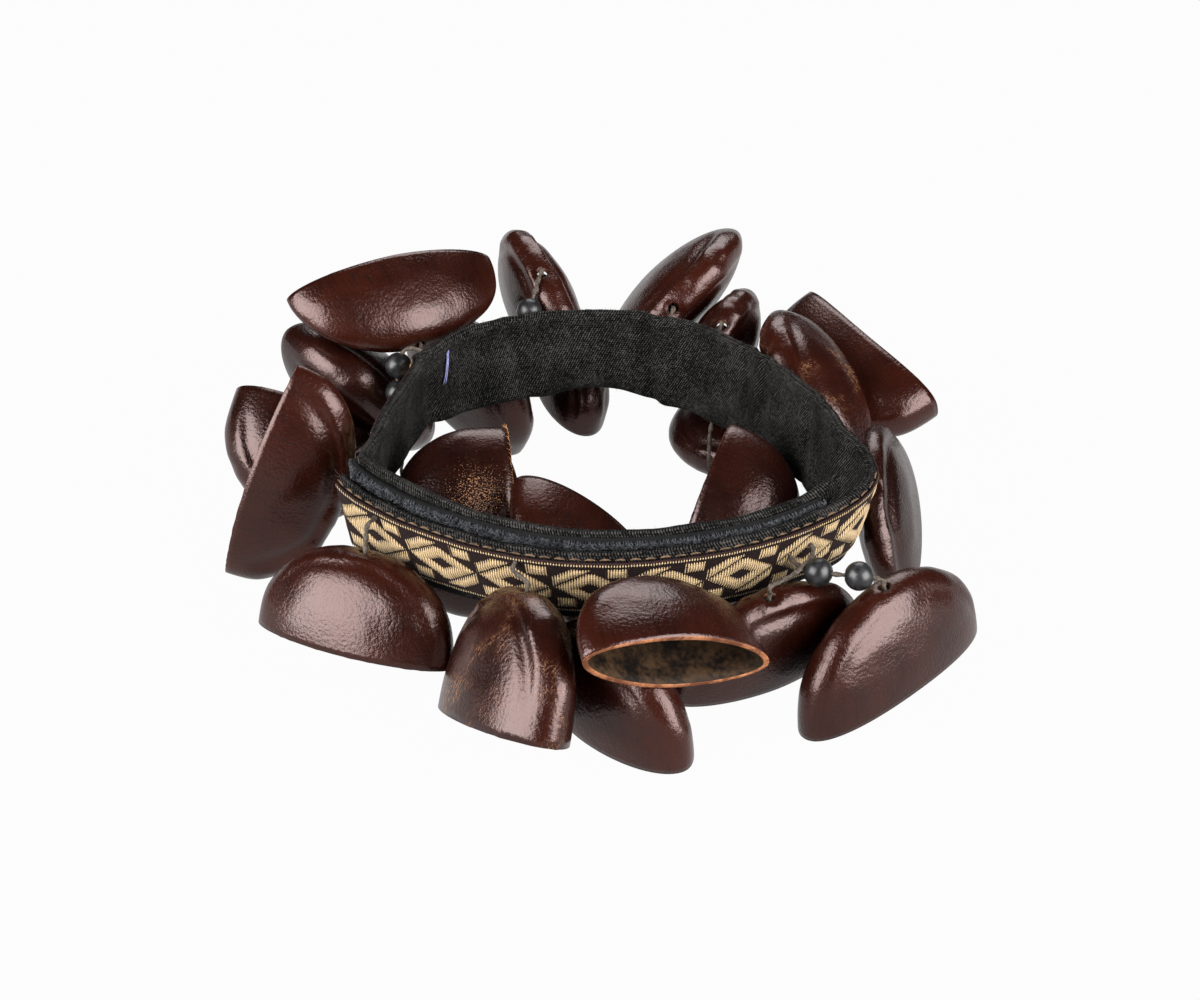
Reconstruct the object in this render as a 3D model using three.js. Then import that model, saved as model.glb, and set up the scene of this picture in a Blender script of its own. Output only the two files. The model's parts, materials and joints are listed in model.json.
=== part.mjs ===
// Foot rattle: a cotton ankle band with a woven ribbon and a hook-and-loop flap,
// hung with half nut shells on short beaded cords.
// Millimetres, +Z up. The ring lies level, its shells rest on the ground at z = 0.
import * as THREE from 'three';

// Ankle band
const RING_RADIUS = 52;
const BAND_WIDTH = 21;
const BAND_TOP = 41;
const LINING_THICKNESS = 2;
const RIBBON_WIDTH = 16;
const RIBBON_THICKNESS = 0.6;
const RIBBON_DROP = -1;
const LAYER_GAP = 0.35;
const BAND_STEP = 4;

// Hook-and-loop closure
const LOOP_THICKNESS = 1.2;
const HOOK_THICKNESS = 1;
const TAPE_WIDTH = 18;
const HOOK_WIDTH = 15;
const FLAP_DROP = 3;
const FLAP_START = -21;
const FLAP_END = -161;
const TAIL_END = 328;
const TAPE_INSET = 6;
const LOOP_START = 190;

// Shells
const SHELL_WALL = 1.3;
const CORD_HOLE = 2.4;
const SHELL_GAP = 0.25;
const TOUCH_STEP = 9;
const TOUCH_SIDES = 32;
const SETTLE_STEP = 0.4;
const SETTLE_ROUNDS = 400;
const SHELL_SIDES = 16;
const OUTER_RINGS = [24, 42, 59, 75, 90];
const INNER_RINGS = [90, 66, 38];

// Cords and beads
const CORD_DIAMETER = 0.9;
const CORD_SIDES = 8;
const CORD_STEP = 1.6;
const CORD_SLACK = 0.3;
const CORD_BEND = 2;
const STITCH_LENGTH = 1.1;
const KNOT_DIAMETER = 3.4;
const KNOT_CLEARANCE = 1;
// Knot outline: places along it and widths, both as shares of its diameter.
const KNOT_OUTLINE = [[0.15, 0.75], [0.5, 1], [0.85, 0.75]];
const BEAD_DIAMETER = 6;
const BEAD_BORE = 2;
const BEAD_SIDES = 12;
const BEAD_RINGS = 7;

// Band plan: degrees round the ring, radial offset of its top edge, lean of the top outward.
const BAND_PLAN = [
  { angle: -160, offset: 4, lean: 12 },
  { angle: -130, offset: 0, lean: 20 },
  { angle: -105, offset: -1, lean: 22 },
  { angle: -75, offset: -1, lean: 22 },
  { angle: -45, offset: 2, lean: 20 },
  { angle: -25, offset: 4, lean: 15 },
  { angle: -4, offset: -3, lean: 10 },
  { angle: 22, offset: -7, lean: 10 },
  { angle: 47, offset: -6, lean: 12 },
  { angle: 85, offset: 0, lean: 12 },
  { angle: 120, offset: 2, lean: 5 },
  { angle: 140, offset: 0.5, lean: -4 },
  { angle: 165, offset: -5, lean: -8 },
  { angle: 190, offset: 2, lean: 2 },
];

// Shells, each placed by its cord hole. station: degrees round the ring; reach: from the band's top
// edge out to the hole; height: of the hole over the ground; turn, tilt and roll: where the mouth
// looks, from straight outward. tie: where its cord leaves the band, as station and share of the
// band's width from the lower edge (0 is under that edge, 1 over the upper one). beads: their
// places along the cord, as shares of its run. slack: how far the cord bellies out, as a share of
// its run. bow: rise of the cut rim's middle. flap: tied to the flap. grounded: lies on the ground.
const SHELLS = [
  { name: '01', station: 137, reach: 6, height: 38, turn: -20, tilt: 29, roll: 2,
    length: 51, depth: 19, thickness: 19, blunt: 1.75, full: 2.1, tie: [141, 0.7] },
  { name: '02', station: 145, reach: 9, height: 24, turn: -24, tilt: -8, roll: 48,
    length: 44, depth: 23, thickness: 21, blunt: 1.85, full: 2.2, tie: [140, 0.9],
    beads: [0.39, 0.71], slack: 0.6 },
  { name: '03', station: 163.5, reach: 30.4, height: 6, turn: -93.5, tilt: 35, roll: 35,
    length: 39, depth: 23, thickness: 21.7, blunt: 2, full: 2.3, tie: [166, 0.2], grounded: true },
  { name: '04', station: 177.4, reach: 8.7, height: 19, turn: -4.7, tilt: 19.5, roll: -80.5,
    length: 52, depth: 19, thickness: 15.5, blunt: 1.8, full: 2.2, bow: -1.7, tie: [180, 0.5],
    grounded: true },
  { name: '05', station: -147, reach: 6, height: 27, turn: 31, tilt: -72, roll: -1,
    length: 45, depth: 20, thickness: 19, blunt: 1.9, full: 2.3, tie: [-148, 0.86], flap: true },
  { name: '06', station: -107, reach: 7, height: 32, turn: -5, tilt: -62, roll: 42,
    length: 44, depth: 27, thickness: 21, blunt: 1.9, full: 2.3, tie: [-111, 0.9], flap: true,
    grounded: true },
  { name: '07', station: -83, reach: 7, height: 35, turn: 12, tilt: -26, roll: -22,
    length: 44, depth: 19, thickness: 18, blunt: 1.75, full: 2.2, tie: [-84, 0.6], flap: true },
  { name: '08', station: -90, reach: 10, height: 23, turn: 167, tilt: -80, roll: 35,
    length: 42, depth: 21, thickness: 19, blunt: 1.9, full: 2.2, tie: [-92, 0.3], flap: true,
    grounded: true },
  { name: '09', station: -58, reach: 7, height: 27, turn: 155, tilt: -72, roll: -21,
    length: 45, depth: 21, thickness: 15, blunt: 1.8, full: 2.15, tie: [-58, 0.5], flap: true },
  { name: '10', station: -41, reach: 18, height: 28, turn: 90, tilt: -81, roll: -83,
    length: 50, depth: 24, thickness: 18, blunt: 2.1, full: 2, bow: 2, tie: [-49, 0.62],
    beads: [0.3, 0.72], flap: true, grounded: true },
  { name: '11', station: -7, reach: 6, height: 28, turn: 67, tilt: -49, roll: 65,
    length: 42, depth: 20, thickness: 13, blunt: 2, full: 2.15, tie: [-4, 0.6], grounded: true },
  { name: '12', station: 47, reach: 20.9, height: 19.4, turn: -14.4, tilt: 20, roll: 13.2,
    length: 47, depth: 20, thickness: 17.4, blunt: 2.6, full: 2.5, bow: 1.5, tie: [47, 0.1], slack: 0.2 },
  { name: '13', station: 35, reach: 3, height: 35, turn: 15, tilt: -33, roll: 39.3,
    length: 46, depth: 18, thickness: 18.3, blunt: 1.8, full: 2.25, tie: [31, 0.6] },
  { name: '14', station: 63, reach: 8, height: 38, turn: 25, tilt: -51, roll: -64,
    length: 32, depth: 17, thickness: 15, blunt: 1.85, full: 2.15, tie: [64, 0.7] },
  { name: '15', station: 76, reach: 10, height: 38, turn: 13, tilt: -20, roll: -46,
    length: 45, depth: 22, thickness: 17, blunt: 1.85, full: 2.2, tie: [78, 0.7] },
  { name: '16', station: 104, reach: 12, height: 45, turn: -13, tilt: -57, roll: 66,
    length: 41, depth: 18, thickness: 16, blunt: 1.85, full: 2.2, tie: [110, 0.8],
    beads: [0.26], slack: 0.1 },
  { name: '17', station: 95, reach: 19.8, height: 20, turn: 45, tilt: -70.4, roll: 121,
    length: 30, depth: 14, thickness: 16.3, blunt: 2, full: 2.2, tie: [92, 0.02] },
  { name: '18', station: 118, reach: 7, height: 29, turn: -4, tilt: -46, roll: 67,
    length: 41, depth: 21, thickness: 20, blunt: 1.85, full: 2.25, tie: [120, 0.5], grounded: true },
  { name: '19', station: -169, reach: -7, height: 20, turn: 179, tilt: -7, roll: 53,
    length: 42, depth: 25, thickness: 19, blunt: 1.85, full: 2.4, tie: [-156, 0], grounded: true },
  { name: '20', station: -103, reach: -15, height: 14, turn: -175, tilt: 8, roll: 47,
    length: 44, depth: 24, thickness: 18, blunt: 1.85, full: 2.25, tie: [-104, 0], grounded: true },
  { name: '21', station: -9, reach: -11, height: 12, turn: 172, tilt: 13, roll: -49,
    length: 42, depth: 22, thickness: 19, blunt: 1.85, full: 2.25, tie: [-8, 0], grounded: true },
  { name: '22', station: 58, reach: -2, height: 8, turn: 3, tilt: 5, roll: -3,
    length: 39, depth: 22, thickness: 17, blunt: 1.85, full: 2.2, tie: [56, 0], grounded: true },
  { name: '23', station: 156, reach: 0, height: 14, turn: -143, tilt: -15, roll: -9,
    length: 38, depth: 20, thickness: 18, blunt: 1.85, full: 2.25, tie: [156, 0], grounded: true },
];

const COLOURS = {
  lining: { color: 0x1d1d1c, roughness: 0.95, metalness: 0 },
  ribbon: { color: 0xa5885a, roughness: 0.7, metalness: 0 },
  tape: { color: 0x141414, roughness: 1, metalness: 0 },
  shell: { color: 0x3a1a14, roughness: 0.35, metalness: 0 },
  cord: { color: 0x57493c, roughness: 0.9, metalness: 0 },
  bead: { color: 0x17181a, roughness: 0.3, metalness: 0 },
};

const UP = new THREE.Vector3(0, 0, 1);
const radians = THREE.MathUtils.degToRad;

function mesh(name, geometry, colour) {
  const made = new THREE.Mesh(geometry, new THREE.MeshStandardMaterial(COLOURS[colour]));
  made.name = name;
  return made;
}

function polar(angle, radius, height) {
  return new THREE.Vector3(
    radius * Math.cos(radians(angle)),
    radius * Math.sin(radians(angle)),
    height,
  );
}

// Closed surface from rings of points, each ring with the same count and turning the same way.
function skin(rings, { wrap }) {
  const count = rings[0].length;
  const vertices = rings.flat();
  const triangles = [];
  const spans = wrap ? rings.length : rings.length - 1;
  for (let j = 0; j < spans; j += 1) {
    const here = j * count;
    const next = ((j + 1) % rings.length) * count;
    for (let i = 0; i < count; i += 1) {
      const k = (i + 1) % count;
      triangles.push(here + i, next + i, here + k, here + k, next + i, next + k);
    }
  }
  if (!wrap) {
    const last = (rings.length - 1) * count;
    for (let i = 1; i < count - 1; i += 1) {
      triangles.push(0, i, i + 1, last, last + i + 1, last + i);
    }
  }
  const geometry = new THREE.BufferGeometry().setFromPoints(vertices);
  geometry.setIndex(triangles);
  return geometry;
}

// Smooth value of one column of the band plan at any angle.
function planValue(column, angle) {
  const rows = BAND_PLAN.length;
  const at = (i) => BAND_PLAN[((i % rows) + rows) % rows][column];
  const angleOf = (i) => BAND_PLAN[((i % rows) + rows) % rows].angle + 360 * Math.floor(i / rows);
  const turn = angle - 360 * Math.floor((angle - BAND_PLAN[0].angle) / 360);
  let i = 0;
  while (angleOf(i + 1) <= turn) {
    i += 1;
  }
  const span = angleOf(i + 1) - angleOf(i);
  const t = (turn - angleOf(i)) / span;
  const slope = (k) => (at(k + 1) - at(k - 1)) / (angleOf(k + 1) - angleOf(k - 1));
  const rise = at(i + 1) - at(i);
  const startBend = slope(i) * span - rise;
  const endBend = rise - slope(i + 1) * span;
  return at(i) + t * rise + t * (1 - t) * ((1 - t) * startBend + t * endBend);
}

function topRadius(angle) {
  return RING_RADIUS + planValue('offset', angle);
}

// Local axes of the band at an angle: across it, out of its face, and its top edge.
function bandFrame(angle) {
  const step = 0.5;
  const before = polar(angle - step, topRadius(angle - step), BAND_TOP);
  const after = polar(angle + step, topRadius(angle + step), BAND_TOP);
  const outward = after.sub(before).cross(UP).normalize();
  const lean = radians(planValue('lean', angle));
  const across = UP.clone().multiplyScalar(Math.cos(lean)).addScaledVector(outward, Math.sin(lean));
  const face = outward.clone().multiplyScalar(Math.cos(lean)).addScaledVector(UP, -Math.sin(lean));
  return { across, face, top: polar(angle, topRadius(angle), BAND_TOP) };
}

// Distances of the closure's layers from the lining's middle surface, along its face.
const TAPE_STACK = LOOP_THICKNESS + HOOK_THICKNESS + 3 * LAYER_GAP;
const LAYER_SHIFT = (LINING_THICKNESS + TAPE_STACK) / 2;
const RIBBON_SHIFT = (LINING_THICKNESS + RIBBON_THICKNESS) / 2 + LAYER_GAP;
const LOOP_SHIFT = -LAYER_SHIFT + (LINING_THICKNESS + LOOP_THICKNESS) / 2 + LAYER_GAP;
const HOOK_SHIFT = LAYER_SHIFT - (LINING_THICKNESS + HOOK_THICKNESS) / 2 - LAYER_GAP;
const SPLIT_BLEND = 22;
const TAIL_START = 166;

// The band runs outside the tail at the right and passes inside the flap at the left.
function bandShift(angle) {
  const open = THREE.MathUtils.smoothstep(angle, FLAP_START, FLAP_START + SPLIT_BLEND);
  const tuck = THREE.MathUtils.smoothstep(angle, TAIL_START, TAIL_START + SPLIT_BLEND);
  return LAYER_SHIFT * (1 - open - tuck);
}

// The flap is pressed on a little low at its free end.
function flapDrop(angle) {
  return (FLAP_DROP * (FLAP_START - angle)) / (FLAP_START - FLAP_END);
}

// Angles between two ends, at the stations that all strips share.
function stripAngles(from, to) {
  const low = Math.min(from, to);
  const high = Math.max(from, to);
  const angles = [low];
  for (let i = Math.floor(low / BAND_STEP) + 1; i * BAND_STEP < high; i += 1) {
    if (i * BAND_STEP - low > BAND_STEP / 4 && high - i * BAND_STEP > BAND_STEP / 4) {
      angles.push(i * BAND_STEP);
    }
  }
  return [...angles, high];
}

function nearestStation(angle) {
  return BAND_STEP * Math.round(angle / BAND_STEP);
}

// A flat strip that follows the band between two angles.
function strip({ from, to, width, thickness, shift, drop }) {
  const rings = [];
  for (const angle of stripAngles(from, to)) {
    const { across, face, top } = bandFrame(angle);
    const middle = top.addScaledVector(face, shift(angle)).addScaledVector(across, -BAND_WIDTH / 2);
    middle.addScaledVector(across, -drop(angle));
    const corner = (side, edge) => middle.clone()
      .addScaledVector(face, (side * thickness) / 2)
      .addScaledVector(across, (edge * width) / 2);
    rings.push([corner(-1, -1), corner(1, -1), corner(1, 1), corner(-1, 1)]);
  }
  return skin(rings, { wrap: false });
}

const level = () => 0;
const ribbonDrop = () => RIBBON_DROP;
const MAIN_START = FLAP_START + 0.4;
const MAIN_END = 184;

function bandPieces() {
  const bandRibbon = (angle) => bandShift(angle) + RIBBON_SHIFT;
  const flapRibbon = () => LAYER_SHIFT + RIBBON_SHIFT;
  const flapRibbonDrop = (angle) => flapDrop(angle) + RIBBON_DROP;
  return {
    band: [
      mesh('band_lining', strip({
        from: MAIN_START, to: TAIL_END, width: BAND_WIDTH, thickness: LINING_THICKNESS,
        shift: bandShift, drop: level,
      }), 'lining'),
      mesh('band_ribbon', strip({
        from: MAIN_START, to: MAIN_END, width: RIBBON_WIDTH, thickness: RIBBON_THICKNESS,
        shift: bandRibbon, drop: ribbonDrop,
      }), 'ribbon'),
      mesh('loop_tape', strip({
        from: nearestStation(LOOP_START), to: nearestStation(TAIL_END - TAPE_INSET),
        width: TAPE_WIDTH, thickness: LOOP_THICKNESS, shift: () => LOOP_SHIFT, drop: level,
      }), 'tape'),
    ],
    flap: [
      mesh('flap_lining', strip({
        from: FLAP_END, to: FLAP_START, width: BAND_WIDTH, thickness: LINING_THICKNESS,
        shift: () => LAYER_SHIFT, drop: flapDrop,
      }), 'lining'),
      mesh('flap_ribbon', strip({
        from: FLAP_END, to: FLAP_START, width: RIBBON_WIDTH, thickness: RIBBON_THICKNESS,
        shift: flapRibbon, drop: flapRibbonDrop,
      }), 'ribbon'),
      mesh('hook_tape', strip({
        from: nearestStation(FLAP_END + TAPE_INSET), to: nearestStation(FLAP_START - TAPE_INSET),
        width: HOOK_WIDTH, thickness: HOOK_THICKNESS, shift: () => HOOK_SHIFT, drop: flapDrop,
      }), 'tape'),
    ],
  };
}

// Height of a dome with a superelliptic plan and profile over its mouth.
function domeHeight(form, x, y) {
  const plan = (2 * Math.abs(x) / form.length) ** form.blunt
    + (2 * Math.abs(y) / form.thickness) ** form.blunt;
  return form.depth * Math.max(0, 1 - plan ** (form.full / form.blunt)) ** (1 / form.full);
}

function signedPower(value, power) {
  return Math.sign(value) * Math.abs(value) ** power;
}

// One ring of a dome, at a slope from its tip (0) to its mouth (90).
function domeRing(form, slope, sides = SHELL_SIDES) {
  const out = Math.sin(radians(slope)) ** (2 / form.full);
  const height = Math.cos(radians(slope)) ** (2 / form.full) * form.depth;
  return Array.from({ length: sides }, (unused, i) => {
    const turn = (2 * Math.PI * i) / sides;
    const x = (form.length / 2) * signedPower(Math.cos(turn), 2 / form.blunt) * out;
    const y = (form.thickness / 2) * signedPower(Math.sin(turn), 2 / form.blunt) * out;
    return new THREE.Vector3(x, y, slope === 90 ? 0 : height);
  });
}

function holeRing(form) {
  return Array.from({ length: SHELL_SIDES }, (unused, i) => {
    const turn = (2 * Math.PI * i) / SHELL_SIDES;
    const x = (CORD_HOLE / 2) * Math.cos(turn);
    const y = (CORD_HOLE / 2) * Math.sin(turn);
    return new THREE.Vector3(x, y, domeHeight(form, x, y));
  });
}

// Half shell with its mouth at z = 0, its length along x and its cord hole at the tip.
function shellGeometry(shell) {
  const inner = {
    ...shell,
    length: shell.length - 2 * SHELL_WALL,
    thickness: shell.thickness - 2 * SHELL_WALL,
    depth: shell.depth - SHELL_WALL,
  };
  const rings = [
    holeRing(shell),
    ...OUTER_RINGS.map((slope) => domeRing(shell, slope)),
    ...INNER_RINGS.map((slope) => domeRing(inner, slope)),
    holeRing(inner),
  ];
  const bow = shell.bow ?? 0;
  for (const point of rings.flat()) {
    const along = (2 * point.x) / shell.length;
    point.z += bow * (1 - along * along) * (1 - point.z / shell.depth);
  }
  return skin(rings, { wrap: true });
}

// Placement of a shell: its hole on the station line, its mouth turned from straight outward.
function shellMatrix(shell) {
  const azimuth = radians(shell.station + shell.turn);
  const tilt = radians(shell.tilt);
  const mouth = new THREE.Vector3(
    Math.cos(tilt) * Math.cos(azimuth),
    Math.cos(tilt) * Math.sin(azimuth),
    Math.sin(tilt),
  );
  const flat = new THREE.Vector3(-Math.sin(azimuth), Math.cos(azimuth), 0);
  const rise = mouth.clone().cross(flat);
  const roll = radians(shell.roll);
  const along = flat.multiplyScalar(Math.cos(roll)).addScaledVector(rise, Math.sin(roll));
  const tip = mouth.clone().negate();
  const side = tip.clone().cross(along);
  const hole = polar(shell.station, topRadius(shell.station) + shell.reach, shell.height);
  const place = new THREE.Matrix4().makeBasis(along, side, tip);
  place.setPosition(hole.addScaledVector(tip, -shell.depth));
  return place;
}

function lowest(geometry, place) {
  const corners = geometry.getAttribute('position');
  let low = Infinity;
  for (let i = 0; i < corners.count; i += 1) {
    low = Math.min(low, new THREE.Vector3().fromBufferAttribute(corners, i).applyMatrix4(place).z);
  }
  return low;
}

// A shell set down: on the ground where it lies there.
function setDown(shell, geometry) {
  const place = shellMatrix(shell);
  const low = lowest(geometry, place);
  if (shell.grounded || low < 0) {
    place.premultiply(new THREE.Matrix4().makeTranslation(0, 0, -low));
  }
  return place;
}

// Points spread over a shell's outside.
function outerPoints(shell) {
  const points = [];
  for (let slope = 0; slope <= 90; slope += TOUCH_STEP) {
    points.push(...domeRing(shell, slope, TOUCH_SIDES));
  }
  return points;
}

// Whether any outer point of one placed shell is inside another.
function reachesInto(points, place, other) {
  const local = other.place.clone().invert().multiply(place);
  const grown = {
    ...other.shell,
    length: other.shell.length + 2 * SHELL_GAP,
    thickness: other.shell.thickness + 2 * SHELL_GAP,
    depth: other.shell.depth + SHELL_GAP,
  };
  return points.some((point) => {
    const at = point.clone().applyMatrix4(local);
    const height = domeHeight(grown, at.x, at.y);
    return height > 0 && at.z > -SHELL_GAP && at.z < height;
  });
}

function middleOf({ shell, place }) {
  return new THREE.Vector3(0, 0, shell.depth / 2).applyMatrix4(place);
}

function shellsTouch(one, other) {
  const reach = (one.shell.length + other.shell.length) / 2 + SHELL_GAP;
  return middleOf(one).distanceTo(middleOf(other)) < reach
    && (reachesInto(one.points, one.place, other) || reachesInto(other.points, other.place, one));
}

// Whether a shell presses into the band: 1 from outside its ring, -1 from inside, 0 if it is clear.
function bandTouch({ points, place }) {
  for (const point of points) {
    const at = point.clone().applyMatrix4(place);
    const angle = THREE.MathUtils.radToDeg(Math.atan2(at.y, at.x));
    const closed = angle > FLAP_END && angle < FLAP_START;
    const { across, face, top } = bandFrame(angle);
    const shift = bandShift(angle < MAIN_START ? angle + 360 : angle);
    const inner = (closed ? -LAYER_SHIFT : shift) - LINING_THICKNESS / 2;
    const outer = (closed ? LAYER_SHIFT : shift) + RIBBON_SHIFT + RIBBON_THICKNESS / 2;
    const low = -BAND_WIDTH - (closed ? flapDrop(angle) : 0);
    const from = at.sub(top);
    const side = from.dot(face);
    const rise = from.dot(across);
    if (side > inner && side < outer && rise > low && rise < 0) {
      const middle = middleOf({ shell: { depth: 0 }, place });
      return middle.setZ(0).length() > topRadius(angle) ? 1 : -1;
    }
  }
  return 0;
}

// Shells that would press into each other or into the band are moved apart along the ground.
function laidShells() {
  const laid = SHELLS.map((shell) => {
    const geometry = shellGeometry(shell);
    return { shell, geometry, points: outerPoints(shell), place: setDown(shell, geometry) };
  });
  const along = (vector) => vector.setZ(0).normalize();
  for (let round = 0; round < SETTLE_ROUNDS; round += 1) {
    const pushes = laid.map(() => new THREE.Vector3());
    laid.forEach((one, i) => {
      const outward = along(middleOf(one));
      pushes[i].addScaledVector(outward, bandTouch(one));
      laid.slice(i + 1).forEach((other, j) => {
        if (shellsTouch(one, other)) {
          const apart = along(middleOf(other).sub(middleOf(one)));
          pushes[i].sub(apart);
          pushes[i + 1 + j].add(apart);
        }
      });
    });
    if (pushes.every((push) => push.length() === 0)) {
      break;
    }
    laid.forEach(({ place }, i) => {
      const step = pushes[i].normalize().multiplyScalar(SETTLE_STEP);
      place.premultiply(new THREE.Matrix4().makeTranslation(step));
    });
  }
  return laid;
}

// Round tube through stations of a path, each with its own radius.
function tube(stations) {
  const rings = [];
  const first = stations[0].direction;
  const base = Math.abs(first.z) < 0.9 ? UP : new THREE.Vector3(1, 0, 0);
  const side = base.clone().addScaledVector(first, -base.dot(first)).normalize();
  let before = first;
  stations.forEach(({ point, direction, radius }) => {
    side.applyQuaternion(new THREE.Quaternion().setFromUnitVectors(before, direction));
    before = direction;
    const other = direction.clone().cross(side);
    const ring = Array.from({ length: CORD_SIDES }, (unused, i) => {
      const turn = (-2 * Math.PI * i) / CORD_SIDES;
      return point.clone()
        .addScaledVector(side, radius * Math.cos(turn))
        .addScaledVector(other, radius * Math.sin(turn));
    });
    rings.push(ring);
  });
  return skin(rings, { wrap: false });
}

// Where a cord leaves the band: on its outer face, or under its lower edge.
function tiePoint(shell) {
  const [angle, share] = shell.tie;
  const { across, face, top } = bandFrame(angle);
  const drop = shell.flap ? flapDrop(angle) : 0;
  const shift = shell.flap ? LAYER_SHIFT : bandShift(angle < MAIN_START ? angle + 360 : angle);
  const lower = top.addScaledVector(across, -BAND_WIDTH - drop).addScaledVector(face, shift);
  if (share === 0) {
    const under = lower.addScaledVector(across, -LAYER_GAP);
    return { point: under, direction: across.negate() };
  }
  if (share === 1) {
    const over = lower.addScaledVector(across, BAND_WIDTH + LAYER_GAP);
    return { point: over, direction: across };
  }
  const out = RIBBON_SHIFT + RIBBON_THICKNESS / 2 + LAYER_GAP;
  const point = lower.addScaledVector(across, share * BAND_WIDTH).addScaledVector(face, out);
  return { point, direction: face };
}

// Run of a cord from its stitch on the band to the outside of the shell's hole.
function cordRun({ shell, place }) {
  const tie = tiePoint(shell);
  const tip = new THREE.Vector3().setFromMatrixColumn(place, 2);
  const hole = new THREE.Vector3(0, 0, shell.depth).applyMatrix4(place);
  const stitch = tie.point.clone().addScaledVector(tie.direction, STITCH_LENGTH);
  const enter = hole.clone().addScaledVector(tip, STITCH_LENGTH);
  const pull = stitch.distanceTo(enter) * (shell.slack ?? CORD_SLACK);
  const curve = new THREE.CubicBezierCurve3(
    stitch,
    stitch.clone().addScaledVector(tie.direction, Math.max(pull, CORD_BEND)),
    enter.clone().addScaledVector(tip, Math.max(pull / 2, CORD_BEND)),
    enter,
  );
  return { tie, hole, inward: tip.negate(), curve };
}

// Cord through the shell's hole to a knot inside.
function cordGeometry({ tie, hole, inward, curve }) {
  const thin = CORD_DIAMETER / 2;
  const stations = [{ point: tie.point, direction: tie.direction, radius: thin }];
  const steps = Math.max(2, Math.ceil(curve.getLength() / CORD_STEP));
  for (let i = 0; i <= steps; i += 1) {
    stations.push({
      point: curve.getPointAt(i / steps),
      direction: curve.getTangentAt(i / steps),
      radius: thin,
    });
  }
  const thinShare = CORD_DIAMETER / KNOT_DIAMETER;
  for (const [along, width] of [[0, thinShare], ...KNOT_OUTLINE, [1, thinShare]]) {
    const depth = SHELL_WALL + KNOT_CLEARANCE + along * KNOT_DIAMETER;
    const point = hole.clone().addScaledVector(inward, depth);
    stations.push({ point, direction: inward, radius: (width * KNOT_DIAMETER) / 2 });
  }
  return tube(stations);
}

// Round bead with a bore along z.
function beadGeometry() {
  const radius = BEAD_DIAMETER / 2;
  const bore = BEAD_BORE / 2;
  const reach = Math.acos(bore / radius);
  const rings = [];
  for (let j = 0; j < BEAD_RINGS; j += 1) {
    const rise = reach * (1 - (2 * j) / (BEAD_RINGS - 1));
    rings.push(Array.from({ length: BEAD_SIDES }, (unused, i) => {
      const turn = (360 * i) / BEAD_SIDES;
      return polar(turn, radius * Math.cos(rise), radius * Math.sin(rise));
    }));
  }
  return skin(rings, { wrap: true });
}

// Beads strung on a cord's run.
function strungBeads(shell, curve) {
  return (shell.beads ?? []).map((share, i) => {
    const bead = mesh(`bead_${shell.name}_${i + 1}`, beadGeometry(), 'bead');
    bead.quaternion.setFromUnitVectors(UP, curve.getTangentAt(share));
    bead.position.copy(curve.getPointAt(share));
    return bead;
  });
}

function build() {
  const rattle = new THREE.Group();
  const pieces = bandPieces();
  rattle.add(...pieces.band, ...pieces.flap);
  for (const laid of laidShells()) {
    const shell = mesh(`shell_${laid.shell.name}`, laid.geometry, 'shell');
    shell.applyMatrix4(laid.place);
    rattle.add(shell);
    const run = cordRun(laid);
    rattle.add(mesh(`cord_${laid.shell.name}`, cordGeometry(run), 'cord'));
    strungBeads(laid.shell, run.curve).forEach((bead) => rattle.add(bead));
  }
  const box = new THREE.Box3().setFromObject(rattle, true);
  const centre = box.getCenter(new THREE.Vector3());
  rattle.position.set(-centre.x, -centre.y, -box.min.z);
  return rattle;
}

export default build();
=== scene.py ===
"""Dresses a foot rattle: a woven ankle band hung with half nut shells on short beaded cords."""

from __future__ import annotations

import json
import logging
import math
import random
from dataclasses import dataclass, field
from enum import Enum
from typing import Callable, Iterable, Sequence

import bmesh
import bpy
from mathutils import Matrix, Vector, noise

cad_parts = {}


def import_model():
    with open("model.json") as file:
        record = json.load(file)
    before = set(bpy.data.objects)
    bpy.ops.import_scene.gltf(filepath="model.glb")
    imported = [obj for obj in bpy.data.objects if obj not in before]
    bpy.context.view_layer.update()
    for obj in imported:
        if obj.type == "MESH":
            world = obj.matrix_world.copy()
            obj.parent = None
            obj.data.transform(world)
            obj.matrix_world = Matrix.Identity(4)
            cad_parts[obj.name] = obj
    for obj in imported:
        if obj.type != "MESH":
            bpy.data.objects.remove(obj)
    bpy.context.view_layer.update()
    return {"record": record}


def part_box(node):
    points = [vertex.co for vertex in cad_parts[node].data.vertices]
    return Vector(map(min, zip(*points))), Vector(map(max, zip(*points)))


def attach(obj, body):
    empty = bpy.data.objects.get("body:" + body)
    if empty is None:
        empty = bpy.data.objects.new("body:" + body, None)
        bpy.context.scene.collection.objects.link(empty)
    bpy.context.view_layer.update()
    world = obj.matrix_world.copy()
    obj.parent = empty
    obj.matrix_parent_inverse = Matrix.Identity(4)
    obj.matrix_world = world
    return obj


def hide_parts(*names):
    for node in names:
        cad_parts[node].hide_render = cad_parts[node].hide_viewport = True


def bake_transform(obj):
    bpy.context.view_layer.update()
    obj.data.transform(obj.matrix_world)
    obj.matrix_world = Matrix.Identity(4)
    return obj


LOG = logging.getLogger("foot_rattle")
MM = 0.001
UP = Vector((0.0, 0.0, 1.0))

Colour = tuple[float, float, float]
Ring = list[Vector]


def smooth(value: float, low: float, high: float) -> float:
    """Eased step of a value from 0 at low to 1 at high."""
    share = min(1.0, max(0.0, (value - low) / (high - low)))
    return share * share * (3.0 - 2.0 * share)


def hump(value: float, centre: float, width: float) -> float:
    """Bell curve of height 1 round a centre."""
    return math.exp(-(((value - centre) / width) ** 2))


def polar(angle: float, radius: float, height: float) -> Vector:
    """Point at an angle in degrees round the ring, a radius and a height."""
    turn = math.radians(angle)
    return Vector((radius * math.cos(turn), radius * math.sin(turn), height))


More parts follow.
